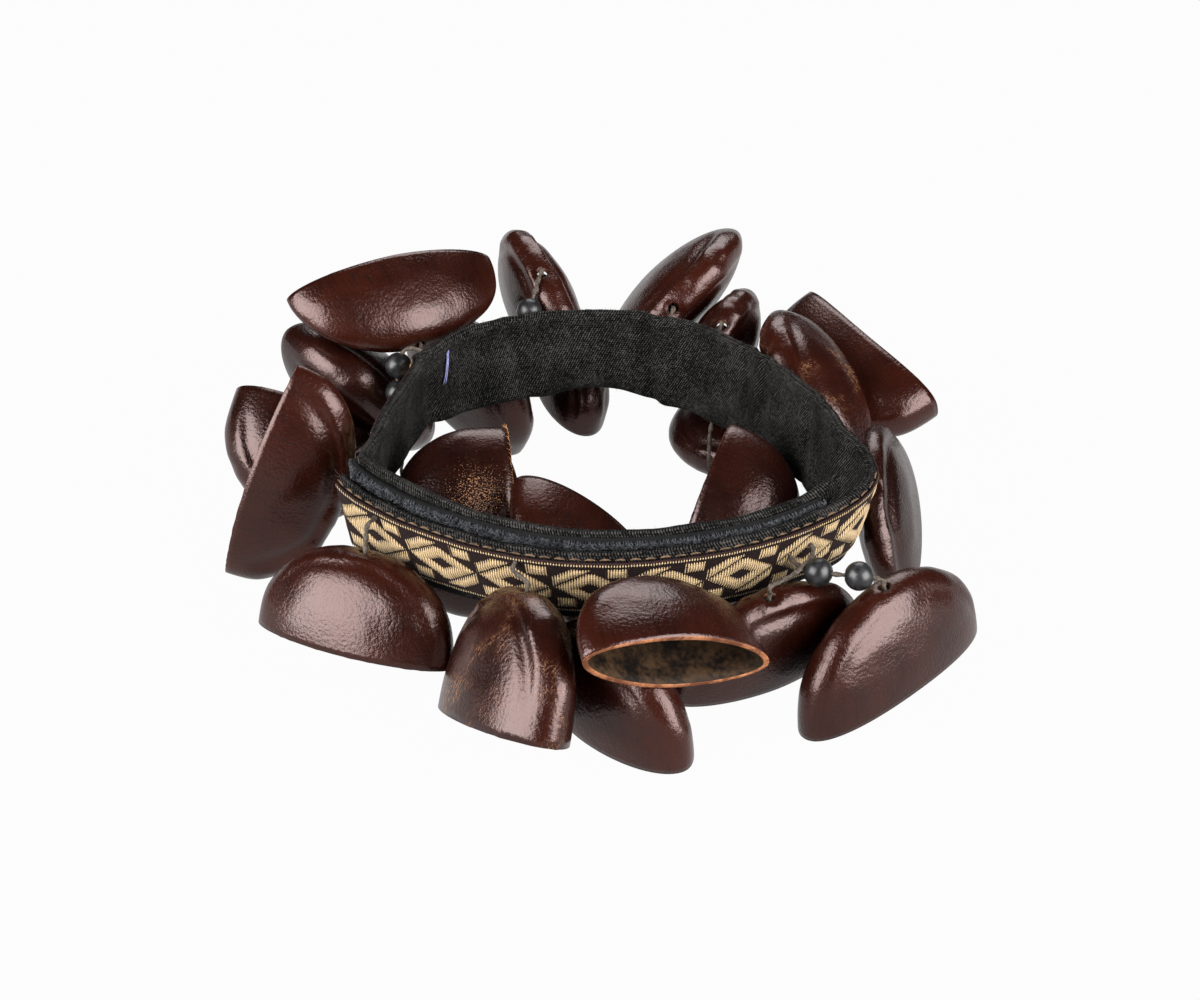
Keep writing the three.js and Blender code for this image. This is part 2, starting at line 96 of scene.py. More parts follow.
class Expr:
    """A shader socket whose arithmetic is written with Python's operators."""

    def __init__(self, graph: Graph, socket: bpy.types.NodeSocket) -> None:
        """Wraps a node's output socket."""
        self.graph = graph
        self.socket = socket

    def _math(self, operation: str, *values: Expr | float) -> Expr:
        """Adds one Math node.

        Args:
            operation: The Math node's operation.
            values: What feeds its inputs, in order.

        Returns:
            The node's result.
        """
        node = self.graph.add("ShaderNodeMath", {"operation": operation}, dict(enumerate(values)))
        return Expr(self.graph, node.outputs[0])

    def __add__(self, other: Expr | float) -> Expr:
        """Sum."""
        return self._math("ADD", self, other)

    __radd__ = __add__

    def __sub__(self, other: Expr | float) -> Expr:
        """Difference."""
        return self._math("SUBTRACT", self, other)

    def __rsub__(self, other: float) -> Expr:
        """Difference from a number."""
        return self._math("SUBTRACT", other, self)

    def __mul__(self, other: Expr | float) -> Expr:
        """Product."""
        return self._math("MULTIPLY", self, other)

    def __truediv__(self, other: Expr | float) -> Expr:
        """Quotient."""
        return self._math("DIVIDE", self, other)

    def __abs__(self) -> Expr:
        """Size without sign."""
        return self._math("ABSOLUTE", self)

    def wave(self, length: float) -> Expr:
        """Wave between 0 and 1 that repeats after a length."""
        return self._math("SINE", self * (2.0 * math.pi / length)) * 0.5 + 0.5

    def floor(self) -> Expr:
        """Whole number below."""
        return self._math("FLOOR", self)

    def least(self, other: Expr | float) -> Expr:
        """Lesser of two."""
        return self._math("MINIMUM", self, other)

    def most(self, other: Expr | float) -> Expr:
        """Greater of two."""
        return self._math("MAXIMUM", self, other)

    def eased(self, low: float, high: float) -> Expr:
        """Eased step from 0 at low to 1 at high."""
        node = self.graph.add(
            "ShaderNodeMapRange",
            {"interpolation_type": "SMOOTHSTEP"},
            {"Value": self, "From Min": low, "From Max": high},
        )
        return Expr(self.graph, node.outputs[0])


class Graph:
    """The node tree of one material."""

    def __init__(self, name: str) -> None:
        """Starts a material with an empty tree."""
        self.material = bpy.data.materials.new(name)
        self.material.use_nodes = True
        self.tree = self.material.node_tree
        self.tree.nodes.clear()

    def add(
        self,
        kind: str,
        settings: dict[str, object] | None = None,
        inputs: dict[str | int, object] | None = None,
    ) -> bpy.types.Node:
        """Adds one node.

        Args:
            kind: The node's type name.
            settings: Its properties, which are set first.
            inputs: Values, expressions or sockets for its inputs, by name or number.

        Returns:
            The node.
        """
        node = self.tree.nodes.new(kind)
        for key, value in (settings or {}).items():
            setattr(node, key, value)
        for key, value in (inputs or {}).items():
            if isinstance(value, Expr):
                value = value.socket
            if isinstance(value, bpy.types.NodeSocket):
                self.tree.links.new(value, node.inputs[key])
            else:
                node.inputs[key].default_value = value
        return node

    def parts(self, vector: bpy.types.NodeSocket) -> tuple[Expr, Expr, Expr]:
        """Three numbers of a vector socket."""
        node = self.add("ShaderNodeSeparateXYZ", None, {0: vector})
        return tuple(Expr(self, socket) for socket in node.outputs)

    def attribute(self, name: str) -> tuple[Expr, Expr, Expr]:
        """Three numbers of a mesh attribute."""
        return self.parts(self.add("ShaderNodeAttribute", {"attribute_name": name}).outputs["Vector"])

    def vector(self, x: Expr | float, y: Expr | float, z: Expr | float) -> bpy.types.NodeSocket:
        """Vector socket of three numbers."""
        return self.add("ShaderNodeCombineXYZ", None, {0: x, 1: y, 2: z}).outputs[0]

    def noise(self, place: bpy.types.NodeSocket, detail: float = 2.0, scale: float = 1.0) -> Expr:
        """Soft noise round 0.5.

        Args:
            place: Where it is read.
            detail: How many finer layers it has.
            scale: How many lumps it has per unit of place.

        Returns:
            The noise.
        """
        node = self.add("ShaderNodeTexNoise", None, {"Vector": place, "Scale": scale, "Detail": detail})
        return Expr(self, node.outputs[0])

    def lumps(self, size: float, detail: float = 2.0) -> Expr:
        """Soft noise on the object, with lumps of a size in millimetres."""
        place = self.add("ShaderNodeTexCoord").outputs["Object"]
        return self.noise(place, detail, 1.0 / (size * MM))

    def mix(
        self,
        share: Expr,
        low: Colour | bpy.types.NodeSocket,
        high: Colour | bpy.types.NodeSocket,
    ) -> bpy.types.NodeSocket:
        """Colour between two colours.

        Args:
            share: How much of the second there is.
            low: The first colour.
            high: The second colour.

        Returns:
            The colour's socket.
        """
        ends = [(*end, 1.0) if isinstance(end, tuple) else end for end in (low, high)]
        node = self.add("ShaderNodeMix", {"data_type": "RGBA"}, {0: share, 6: ends[0], 7: ends[1]})
        return node.outputs[2]

    def bump(self, height: Expr, depth: float) -> bpy.types.NodeSocket:
        """Normal of a relief that is depth metres high."""
        return self.add("ShaderNodeBump", None, {"Height": height, "Distance": depth}).outputs[0]

    def surface(self, **inputs: object) -> None:
        """Ends the tree in a shader with these inputs, whose names have _ for a space."""
        named = {key.replace("_", " "): value for key, value in inputs.items()}
        shader = self.add("ShaderNodeBsdfPrincipled", None, named)
        self.add("ShaderNodeOutputMaterial", None, {0: shader.outputs[0]})


@dataclass(frozen=True)
class Finish:
    """A finish that becomes one material."""

    name: str

    def material(self) -> bpy.types.Material:
        """The finish's material, made once."""
        found = bpy.data.materials.get(self.name)
        if found is None:
            graph = Graph(self.name)
            self.paint(graph)
            found = graph.material
        return found

    def paint(self, graph: Graph) -> None:
        """Builds the node tree."""
        raise NotImplementedError


@dataclass(frozen=True)
class Lacquer(Finish):
    """Polished outside of a nut shell, with fibres that run from its crest to its rim."""

    dark: Colour = (0.0050, 0.0010, 0.0006)
    red: Colour = (0.023, 0.0040, 0.0017)
    black: Colour = (0.0012, 0.0005, 0.0004)
    tan: Colour = (0.42, 0.21, 0.10)
    sheen: Colour = (1.0, 0.70, 0.66)
    cloud_size: float = 9.0
    pore_size: float = 0.7
    dust_size: float = 0.27
    grain_depth: float = 0.00015
    roughness: float = 0.26

    def paint(self, graph: Graph) -> None:
        """Builds the node tree."""
        ring_x, ring_y, down = graph.attribute("grain")
        warmth, scratched, dusty = graph.attribute("wear")
        cloud = graph.lumps(self.cloud_size, 3.0)
        pores = graph.lumps(self.pore_size)
        fibres = graph.noise(graph.vector(ring_x * 1.5, ring_y * 1.5, down * 0.16), 3.0)
        hairs = graph.noise(graph.vector(ring_x * 2.6, ring_y * 2.6, down * 0.45))
        warm = (cloud + warmth - 0.5 + (fibres - 0.5) * 0.7).eased(-0.15, 0.85)
        colour = graph.mix(warm, self.dark, self.red)
        streaks = (fibres - 0.5 + (hairs - 0.5) * 0.8).eased(0.06, 0.34)
        colour = graph.mix(streaks * 0.75, colour, self.black)
        dots = graph.lumps(self.dust_size, 1.0)
        specks = (dots + dusty * 0.36 - 0.34).eased(0.54, 0.66)
        lines = graph.noise(graph.vector(ring_x * 2.2 + down * 0.9, ring_y * 0.5, down * 0.5))
        cuts = (1.0 - abs(lines - 0.5) * 40.0).most(0.0) * scratched * cloud.eased(0.45, 0.6)
        marks = specks.most(cuts)
        blotches = (cloud - 0.5) * 0.12
        relief = pores * 0.75 + fibres * 0.1 + hairs * 0.1
        graph.surface(
            Base_Color=graph.mix(marks * 0.8, colour, self.tan),
            Roughness=self.roughness + blotches + streaks * 0.06 + marks * 0.3 + (pores - 0.5) * 0.08,
            Specular_IOR_Level=0.5,
            Specular_Tint=(*self.sheen, 1.0),
            Coat_Weight=0.12,
            Coat_Roughness=0.14,
            Normal=graph.bump(relief, self.grain_depth),
        )


@dataclass(frozen=True)
class CutShell(Finish):
    """Sawn edge or bare inside of a nut shell."""

    pale: Colour
    deep: Colour
    fibre_size: float = 0.7
    roughness: float = 0.75
    fibre_depth: float = 0.00012

    def paint(self, graph: Graph) -> None:
        """Builds the node tree."""
        cloud = graph.lumps(6.0 * self.fibre_size, 3.0)
        fibres = graph.lumps(self.fibre_size, 3.0)
        share = (cloud * 0.8 + fibres * 0.4).eased(0.46, 0.76)
        graph.surface(
            Base_Color=graph.mix(share, self.deep, self.pale),
            Roughness=self.roughness + (fibres - 0.5) * 0.2,
            Specular_IOR_Level=0.1,
            Normal=graph.bump(fibres + cloud, self.fibre_depth),
        )


@dataclass(frozen=True)
class Cotton(Finish):
    """Black cotton twill."""

    ground: Colour = (0.0007, 0.0007, 0.0006)
    worn: Colour = (0.060, 0.057, 0.053)
    rib: float = 0.62
    slant: float = 0.55
    wander_size: float = 2.0
    cloud_size: float = 7.0
    lint_size: float = 0.6
    weave_depth: float = 0.00022

    def paint(self, graph: Graph) -> None:
        """Builds the node tree."""
        along, across, _ = graph.attribute("weave")
        wander = graph.lumps(self.wander_size)
        ribs = (along + across * self.slant + wander * 0.5).wave(self.rib)
        cross = across.wave(0.8 * self.rib)
        cloud = graph.lumps(self.cloud_size, 3.0)
        lint = graph.lumps(self.lint_size)
        share = (ribs * 0.7 + cross * 0.3 + (cloud - 0.5) * 0.9 + (lint - 0.5) * 1.7).eased(0.36, 1.3)
        graph.surface(
            Base_Color=graph.mix(share, self.ground, self.worn),
            Roughness=0.9 + (lint - 0.5) * 0.15,
            Specular_IOR_Level=0.08,
            Normal=graph.bump(ribs * 0.6 + cross * 0.3 + lint * 0.7, self.weave_depth),
        )


def larger(one: Expr | float, other: Expr | float) -> Expr | float:
    """Greater of two numbers or two expressions."""
    return one.most(other) if isinstance(one, Expr) else max(one, other)


def lesser(one: Expr | float, other: Expr | float) -> Expr | float:
    """Lesser of two numbers or two expressions."""
    return one.least(other) if isinstance(one, Expr) else min(one, other)


def below(value: Expr | float) -> Expr | float:
    """Whole number below a number or an expression."""
    return value.floor() if isinstance(value, Expr) else math.floor(value)


@dataclass(frozen=True)
class WovenRibbon(Finish):
    """Jacquard ribbon: gold floats in eyes, bars and blocks on a brown ground, in millimetres.

    Each repeat has an eye at its middle, a bar along two of the eye's sides and a block off the other two.
    """

    repeat: float = 16.0
    thread: float = 0.56
    eye: tuple[float, float] = (7.3, 5.3)
    eye_top: float = 4.8
    pupil: tuple[float, float] = (2.8, 1.75)
    bar_gap: float = 0.6
    bar_wide: float = 2.2
    bar_ends: tuple[float, float] = (-7.6, -0.2)
    bar_top: float = 6.1
    block: tuple[float, float] = (5.3, 5.0)
    block_half: tuple[float, float] = (1.95, 1.4)
    edge_line: float = 7.45
    edge_half: float = 0.16
    gold: Colour = (0.61, 0.455, 0.258)
    # shade is the gold's painted shade, in the gaps between threads and towards the floats' edges.
    shade: Colour = (0.13, 0.066, 0.026)
    brown: Colour = (0.0016, 0.0008, 0.0008)
    umber: Colour = (0.021, 0.0072, 0.0064)
    pick: float = 0.6
    fuzz_size: float = 0.35
    cloud_size: float = 3.5
    weave_depth: float = 0.0003

    def bar_depth(self, u: Expr | float, v: Expr | float) -> Expr | float:
        """How far inside the bar along an eye's upper left side a place is."""
        wide, tall = self.eye
        out = (v - tall - u * (tall / wide)) / math.hypot(1.0, tall / wide)
        across = self.bar_wide * 0.5 - abs(out - self.bar_gap - self.bar_wide * 0.5)
        start, end = self.bar_ends
        return lesser(across, lesser(lesser(u - start, end - u), self.bar_top - v))

    def block_depth(self, u: Expr | float, v: Expr | float) -> Expr | float:
        """How far inside the block off an eye's upper right side a place is."""
        along, across = self.block
        half_along, half_across = self.block_half
        return lesser(half_along - abs(u - along), half_across - abs(v - across))

    def gold_depth(self, along: Expr | float, across: Expr | float) -> Expr | float:
        """How far inside a gold float a place is.

        Args:
            along: Millimetres along the ribbon.
            across: Millimetres up from the ribbon's middle.

        Returns:
            Depth in millimetres, negative on the ground.
        """
        column = (below(along / self.thread) + 0.5) * self.thread
        u = column - (below(column / self.repeat + 0.5)) * self.repeat
        v = across
        wide, tall = self.eye
        outer = (tall - abs(v) - abs(u) * (tall / wide)) / math.hypot(1.0, tall / wide)
        outer = lesser(outer, self.eye_top - abs(v))
        pupil_slope = self.pupil[1] / self.pupil[0]
        inner = (abs(v) + abs(u) * pupil_slope - self.pupil[1]) / math.hypot(1.0, pupil_slope)
        bars = larger(self.bar_depth(u, v), self.bar_depth(0.0 - u, 0.0 - v))
        blocks = larger(self.block_depth(u, v), self.block_depth(0.0 - u, 0.0 - v))
        shapes = larger(lesser(outer, inner), larger(bars, blocks))
        return larger(shapes, self.edge_half - abs(abs(v) - self.edge_line))

    def paint(self, graph: Graph) -> None:
        """Builds the node tree."""
        along, across, _ = graph.attribute("weave")
        fuzz = graph.lumps(self.fuzz_size)
        cloud = graph.lumps(self.cloud_size)
        threads = along.wave(self.thread)
        depth = self.gold_depth(along, across)
        floats = (depth + (threads - 0.55) * 0.5 + (fuzz - 0.5) * 0.4).eased(-0.08, 0.12)
        picks = across.wave(self.pick)
        # Painted light on the gold: each thread's crown and each float's middle are painted lighter and the
        # gaps between threads darker, as painted highlight and painted shade; cloud and fuzz add the silk's
        # own uneven tone.
        bright = threads * 0.8 + cloud * 0.3 + (fuzz - 0.5) * 0.5 + depth.eased(0.0, 0.9) * 0.15
        silk = graph.mix(bright.eased(0.1, 0.95), self.shade, self.gold)
        ground = graph.mix((fuzz + (picks - 0.5) * 0.4).eased(0.36, 0.74), self.brown, self.umber)
        relief = floats * (0.5 + threads * 0.5) + picks * 0.2 + fuzz * 0.3
        graph.surface(
            Base_Color=graph.mix(floats, ground, silk),
            Roughness=0.85 - floats * 0.42,
            Specular_IOR_Level=0.2,
            Normal=graph.bump(relief, self.weave_depth),
        )


@dataclass(frozen=True)
class Yarn(Finish):
    """Plain spun thread, tape or fibre."""

    pale: Colour
    deep: Colour
    roughness: float = 0.8
    fleck_size: float = 0.5
    fleck_depth: float = 0.00008

    def paint(self, graph: Graph) -> None:
        """Builds the node tree."""
        fleck = graph.lumps(self.fleck_size)
        cloud = graph.lumps(5.0 * self.fleck_size)
        graph.surface(
            Base_Color=graph.mix((fleck * 0.6 + cloud * 0.5).eased(0.35, 0.75), self.deep, self.pale),
            Roughness=self.roughness + (fleck - 0.5) * 0.2,
            Specular_IOR_Level=0.2,
            Normal=graph.bump(fleck, self.fleck_depth),
        )


@dataclass(frozen=True)
class SatinBead(Finish):
    """Black bead with a satin skin."""

    black: Colour = (0.0085, 0.0085, 0.0095)
    grey: Colour = (0.022, 0.022, 0.024)
    haze_size: float = 1.2
    pit_size: float = 0.3
    pit_depth: float = 0.00002
    roughness: float = 0.34

    def paint(self, graph: Graph) -> None:
        """Builds the node tree."""
        haze = graph.lumps(self.haze_size, 3.0)
        pits = graph.lumps(self.pit_size, 1.0)
        graph.surface(
            Base_Color=graph.mix(haze.eased(0.4, 0.75), self.black, self.grey),
            Roughness=self.roughness + (haze - 0.5) * 0.2,
            Normal=graph.bump(pits, self.pit_depth),
        )


@dataclass(frozen=True)
class WhiteStage(Finish):
    """Grey floor, which the lens sees as a white page with faint shadows, and gloss as a duller one."""

    grey: Colour = (0.1, 0.1, 0.1)
    page_share: float = 0.97
    gloss_share: float = 0.72

    def paint(self, graph: Graph) -> None:
        """Builds the node tree."""
        rays = graph.add("ShaderNodeLightPath").outputs
        direct = Expr(graph, rays["Is Camera Ray"]) + Expr(graph, rays["Is Transmission Ray"])
        seen = (direct + Expr(graph, rays["Is Glossy Ray"]) * self.gloss_share).least(1.0)
        matt = graph.add("ShaderNodeBsdfDiffuse", None, {"Color": (*self.grey, 1.0)})
        page = graph.add("ShaderNodeEmission", None, {"Color": (1.0, 1.0, 1.0, 1.0)})
        both = graph.add(
            "ShaderNodeMixShader",
            None,
            {0: seen * self.page_share, 1: matt.outputs[0], 2: page.outputs[0]},
        )
        graph.add("ShaderNodeOutputMaterial", None, {0: both.outputs[0]})


LACQUER = Lacquer("shell_lacquer")
FRESH_CUT = CutShell("fresh_cut_rim", pale=(0.42, 0.17, 0.078), deep=(0.13, 0.045, 0.022))
DULL_CUT = CutShell("dull_cut_rim", pale=(0.16, 0.060, 0.028), deep=(0.035, 0.013, 0.009))
BARE_INSIDE = CutShell("bare_shell_inside", pale=(0.050, 0.027, 0.013), deep=(0.0040, 0.0026, 0.0018),
                       fibre_size=1.0, roughness=0.6)
COTTON = Cotton("black_cotton_twill")
RIBBON = WovenRibbon("woven_lozenge_ribbon")
TAPE = Yarn("hook_and_loop_tape", pale=(0.005, 0.005, 0.006), deep=(0.002, 0.002, 0.002), roughness=0.9)
# The pile's pale blue-grey flecks are painted glints on the loops and hooks; its deep colour is their own
# black.
PILE = Yarn("loop_pile", pale=(0.085, 0.088, 0.098), deep=(0.004, 0.004, 0.005), roughness=0.5)
STITCH = Yarn("black_stitching", pale=(0.010, 0.009, 0.009), deep=(0.003, 0.003, 0.003))
HEM_THREAD = Yarn("tan_hem_thread", pale=(0.17, 0.105, 0.060), deep=(0.035, 0.022, 0.016))
LINT = Yarn("grey_lint", pale=(0.045, 0.042, 0.039), deep=(0.012, 0.011, 0.010))
CORD = Yarn("twisted_cord", pale=(0.125, 0.100, 0.080), deep=(0.028, 0.022, 0.017))
TACK = Yarn("violet_tack_thread", pale=(0.36, 0.36, 0.62), deep=(0.15, 0.15, 0.34))
FIBRE = Yarn("tan_shell_fibre", pale=(0.50, 0.26, 0.12), deep=(0.18, 0.075, 0.03))
BEAD = SatinBead("satin_bead")


@dataclass
class Skin:
    """Points and faces of one piece in millimetres from the ring's middle, before it becomes an object."""

    points: list[Vector] = field(default_factory=list)
    faces: list[tuple[int, ...]] = field(default_factory=list)
    finishes: list[int] = field(default_factory=list)
    layers: dict[str, list[Vector]] = field(default_factory=dict)

    def loft(
        self,
        rings: Sequence[Ring],
        wrap: bool = False,
        caps: bool = False,
        finish: Callable[[int], int] | None = None,
    ) -> None:
        """Adds a surface through closed rings of points.

        Args:
            rings: The rings, each with as many points.
            wrap: Whether the last ring joins the first.
            caps: Whether the end rings are closed.
            finish: Number of the finish of the faces after a ring.
        """
        base = len(self.points)
        count = len(rings[0])
        for ring in rings:
            self.points.extend(ring)
        spans = len(rings) if wrap else len(rings) - 1
        for j in range(spans):
            here = base + j * count
            there = base + ((j + 1) % len(rings)) * count
            for i in range(count):
                k = (i + 1) % count
                self.faces.append((here + i, here + k, there + k, there + i))
                self.finishes.append(finish(j) if finish else 0)
        if caps:
            last = base + (len(rings) - 1) * count
            self.faces.append(tuple(range(base, base + count)))
            self.faces.append(tuple(range(last, last + count)))
            self.finishes.extend([finish(0) if finish else 0] * 2)

    def thread(
        self,
        path: Sequence[Vector],
        radius: Callable[[float], float],
        sides: int,
        strands: int = 0,
        pitch: float = 1.0,
    ) -> None:
        """Adds a thread along a path, with closed ends.

        Args:
            path: The points that it follows.
            radius: Its radius at a share of the path.
            sides: Points in each ring.
            strands: How many strands it is twisted from, 0 for a plain thread.
            pitch: Length of one full twist.
        """
        rings = []
        side = Vector((0.3, 0.5, 0.81))
        strand_depth = 0.24
        walked = 0.0
        for i, point in enumerate(path):
            ahead = path[min(i + 1, len(path) - 1)] - path[max(i - 1, 0)]
            ahead.normalize()
            side = (side - ahead * side.dot(ahead)).normalized()
            other = ahead.cross(side)
            if i:
                walked += (point - path[i - 1]).length
            size = radius(i / (len(path) - 1))
            twist = 2.0 * math.pi * walked / pitch
            ring = []
            for k in range(sides):
                turn = 2.0 * math.pi * k / sides
                lobe = 1.0 + strand_depth * math.cos(strands * turn + twist) if strands else 1.0
                ring.append(point + (side * math.cos(turn) + other * math.sin(turn)) * size * lobe)
            rings.append(ring)
        self.loft(rings, caps=True)

    def layer(self, name: str, values: Iterable[Vector]) -> None:
        """Adds values for an attribute of the points."""
        self.layers.setdefault(name, []).extend(values)

    @classmethod
    def strip(cls, rings: Sequence[Ring], weave: Sequence[Vector] = ()) -> Skin:
        """A strip with closed ends through rings, with its points' places on the weave."""
        skin = cls()
        skin.loft(rings, caps=True)
        if weave:
            skin.layer("weave", weave)
        return skin


class Bench:
    """Turns skins into objects in the frame's place."""

    def __init__(self, centre: Vector) -> None:
        """Keeps the ring's middle on the ground, in metres."""
        self.centre = centre

    def make(self, name: str, skin: Skin, finishes: Sequence[Finish], slot: str) -> bpy.types.Object:
        """Makes one object.

        Args:
            name: The piece's name.
            skin: Its surface.
            finishes: Its finishes, which the faces number.
            slot: Not used.

        Returns:
            The object, which rides on nothing yet.
        """
        mesh = bpy.data.meshes.new(name)
        mesh.from_pydata([self.centre + point * MM for point in skin.points], [], skin.faces)
        for layer, values in skin.layers.items():
            data = mesh.attributes.new(layer, "FLOAT_VECTOR", "POINT").data
            data.foreach_set("vector", [number for value in values for number in value])
        for finish in finishes:
            mesh.materials.append(finish.material())
        mesh.polygons.foreach_set("material_index", skin.finishes)
        mesh.polygons.foreach_set("use_smooth", [True] * len(mesh.polygons))
        shape = bmesh.new()
        shape.from_mesh(mesh)
        bmesh.ops.recalc_face_normals(shape, faces=shape.faces)
        shape.to_mesh(mesh)
        shape.free()
        piece = bpy.data.objects.new(name, mesh)
        bpy.context.collection.objects.link(piece)
        LOG.info("%s: %d faces", name, len(mesh.polygons))
        return piece

    def from_frame(self, corner: Vector) -> Vector:
        """A frame place in metres as millimetres from the ring's middle."""
        return (Vector(corner) - self.centre) / MM


def add_hair(skin: Skin, draw: random.Random, root: Vector, way: Vector, length: float, thick: float) -> None:
    """Adds one loose thread, which curls as it goes from its root."""
    curl = Vector((draw.uniform(-1, 1), draw.uniform(-1, 1), draw.uniform(-1, 1))) * 0.5
    steps = 5
    taper = 0.6
    path = [root]
    for i in range(steps):
        path.append(path[-1] + (way.normalized() + curl * (i / (steps - 1))).normalized() * length / steps)
    skin.thread(path, lambda share: thick * (1.0 - taper * share), 4)


def resampled(path: Sequence[Vector], step: float) -> list[Vector]:
    """A path's points at even steps of about a length."""
    lengths = [0.0]
    for one, other in zip(path, path[1:]):
        lengths.append(lengths[-1] + (other - one).length)
    count = max(2, round(lengths[-1] / step))
    points = []
    j = 0
    for i in range(count + 1):
        want = lengths[-1] * i / count
        while j < len(path) - 2 and lengths[j + 1] < want:
            j += 1
        span = lengths[j + 1] - lengths[j]
        points.append(path[j].lerp(path[j + 1], (want - lengths[j]) / span if span else 0.0))
    return points


@dataclass(frozen=True)
class Bend:
    """One row of the band's plan: degrees round the ring, offset of the top edge, outward lean."""

    angle: float
    offset: float
    lean: float


BENDS = (
    Bend(-162, 5.2, 10),
    Bend(-155, 4.2, 14),
    Bend(-147, 2.5, 17),
    Bend(-130, 0, 20),
    Bend(-105, -1, 22),
    Bend(-75, -1, 22),
    Bend(-45, 2, 20),
    Bend(-25, 4, 15),
    Bend(-4, -3, 10),
    Bend(22, -7, 10),
    Bend(47, -6, 12),
    Bend(85, 0, 12),
    Bend(120, 2, 5),
    Bend(140, 0.5, -4),
    Bend(150, -2.6, -6.5),
    Bend(165, -4.8, -8),
    Bend(180, -1.5, -4),
    Bend(190, 2.2, 2),
)


@dataclass(frozen=True)
class Crease:
    """A fold across the band: where it is, how deep and how wide, in degrees and millimetres."""

    angle: float
    depth: float
    width: float


@dataclass
class AnkleBand:
    """The cotton strap, one strip from the flap's free end right round to the tail under the flap.

    Lengths are in millimetres and places along the strap in degrees.
    """

    radius: float = 52.0
    width: float = 21.0
    top: float = 41.0
    thickness: float = 2.0
    ribbon_width: float = 16.0
    ribbon_thickness: float = 0.6
    ribbon_drop: float = -1.3
    layer_gap: float = 0.35
    loop_thickness: float = 1.2
    hook_thickness: float = 1.0
    tape_width: float = 18.0
    hook_width: float = 15.0
    tape_inset: float = 6.0
    hook_inset: float = 1.0
    loop_start: float = 196.0
    flap_drop: float = 3.0
    fold: float = -21.0
    flap_end: float = -161.0
    tail_end: float = 328.0
    ribbon_end: float = 184.0
    tail_start: float = 166.0
    split_blend: float = 22.0
    seam: float = 100.0
    eye_angle: float = -94.6
    repeat_angle: float = 17.6
    weave_draw: float = 5.5e-5
    hem: float = 3.5
    hem_swell: float = 0.3
    hem_groove: float = 0.42
    edge_round: float = 0.9
    edge_half: float = 0.12
    edge_reach: float = 6.0
    float_rise: float = 0.3
    angle_step: float = 0.7
    ribbon_step: float = 0.3
    tape_step: float = 1.5
    section_steps: int = 26
    ribbon_steps: int = 44
    fold_reach: float = 6.0
    tail_slump: float = 1.4
    slump_start: tuple[float, float] = (215.0, 235.0)
    slump_end: tuple[float, float] = (318.0, 327.0)
    back_arch: float = 2.2
    arch_angle: float = 92.0
    arch_width: float = 12.0
    loose_start: float = 20.0
    loose_end: tuple[float, float] = (150.0, 175.0)
    wave_size: tuple[float, float] = (14.0, 22.0)
    wave_depth: float = 0.7
    nap_size: float = 3.0
    nap_depth: float = 0.12
    wander_size: float = 9.0
    wander_depth: float = 0.55
    crease_slant: float = 0.25
    ridge_offset: float = 2.2
    ridge_width: float = 1.4
    ridge_share: float = 0.6
    creases: tuple[Crease, ...] = (
        Crease(114, 0.7, 2.0),
        Crease(79, 1.2, 1.8),
        Crease(44, 1.0, 2.0),
        Crease(36, 0.7, 1.6),
        Crease(142, 0.9, 2.2),
        Crease(12, 0.6, 2.4),
    )

    def __post_init__(self) -> None:
        """Works out how far the closure's layers lie from the lining's middle."""
        stack = self.loop_thickness + self.hook_thickness + 3 * self.layer_gap
        self.layer_shift = (self.thickness + stack) / 2
        self.ribbon_shift = (self.thickness + self.ribbon_thickness) / 2 + self.layer_gap
        self.loop_shift = -self.layer_shift + (self.thickness + self.loop_thickness) / 2 + self.layer_gap
        self.hook_shift = self.layer_shift - (self.thickness + self.hook_thickness) / 2 - self.layer_gap

    def plan(self, column: str, angle: float) -> float:
        """Smooth value of one column of the band's plan.

        Args:
            column: offset or lean.
            angle: Degrees round the ring.

        Returns:
            The value there.
        """
        rows = len(BENDS)

        def value(i: int) -> float:
            """Column's value in a row, counted on round the ring."""
            return getattr(BENDS[i % rows], column)

        def place(i: int) -> float:
            """Angle of a row, counted on round the ring."""
            return BENDS[i % rows].angle + 360.0 * (i // rows)

        turn = angle - 360.0 * math.floor((angle - BENDS[0].angle) / 360.0)
        i = 0
        while place(i + 1) <= turn:
            i += 1
        span = place(i + 1) - place(i)
        t = (turn - place(i)) / span
        rise = value(i + 1) - value(i)
        start = span * (value(i + 1) - value(i - 1)) / (place(i + 1) - place(i - 1)) - rise
        end = rise - span * (value(i + 2) - value(i)) / (place(i + 2) - place(i))
        return value(i) + t * rise + t * (1 - t) * ((1 - t) * start + t * end)

    def top_radius(self, angle: float) -> float:
        """Radius of the band's top edge."""
        return self.radius + self.plan("offset", angle)

    def axes(self, angle: float) -> tuple[Vector, Vector, Vector]:
        """Directions across the band and out of its face, and its top edge."""
        step = 0.5
        before = polar(angle - step, self.top_radius(angle - step), self.top)
        after = polar(angle + step, self.top_radius(angle + step), self.top)
        outward = (after - before).cross(UP).normalized()
        lean = math.radians(self.plan("lean", angle))
        across = UP * math.cos(lean) + outward * math.sin(lean)
        face = outward * math.cos(lean) - UP * math.sin(lean)
        return across, face, polar(angle, self.top_radius(angle), self.top)

    def shift(self, angle: float) -> float:
        """How far the lining's middle is from the ring, along its face."""
        if angle <= self.fold:
            return self.layer_shift
        opened = smooth(angle, self.fold, self.fold + self.split_blend)
        tucked = smooth(angle, self.tail_start, self.tail_start + self.split_blend)
        return self.layer_shift * (1.0 - opened - tucked)

    def drop(self, angle: float) -> float:
        """How much lower the strap lies than the ring, which the flap does at its free end."""
        return max(0.0, self.flap_drop * (self.fold - angle) / (self.fold - self.flap_end))

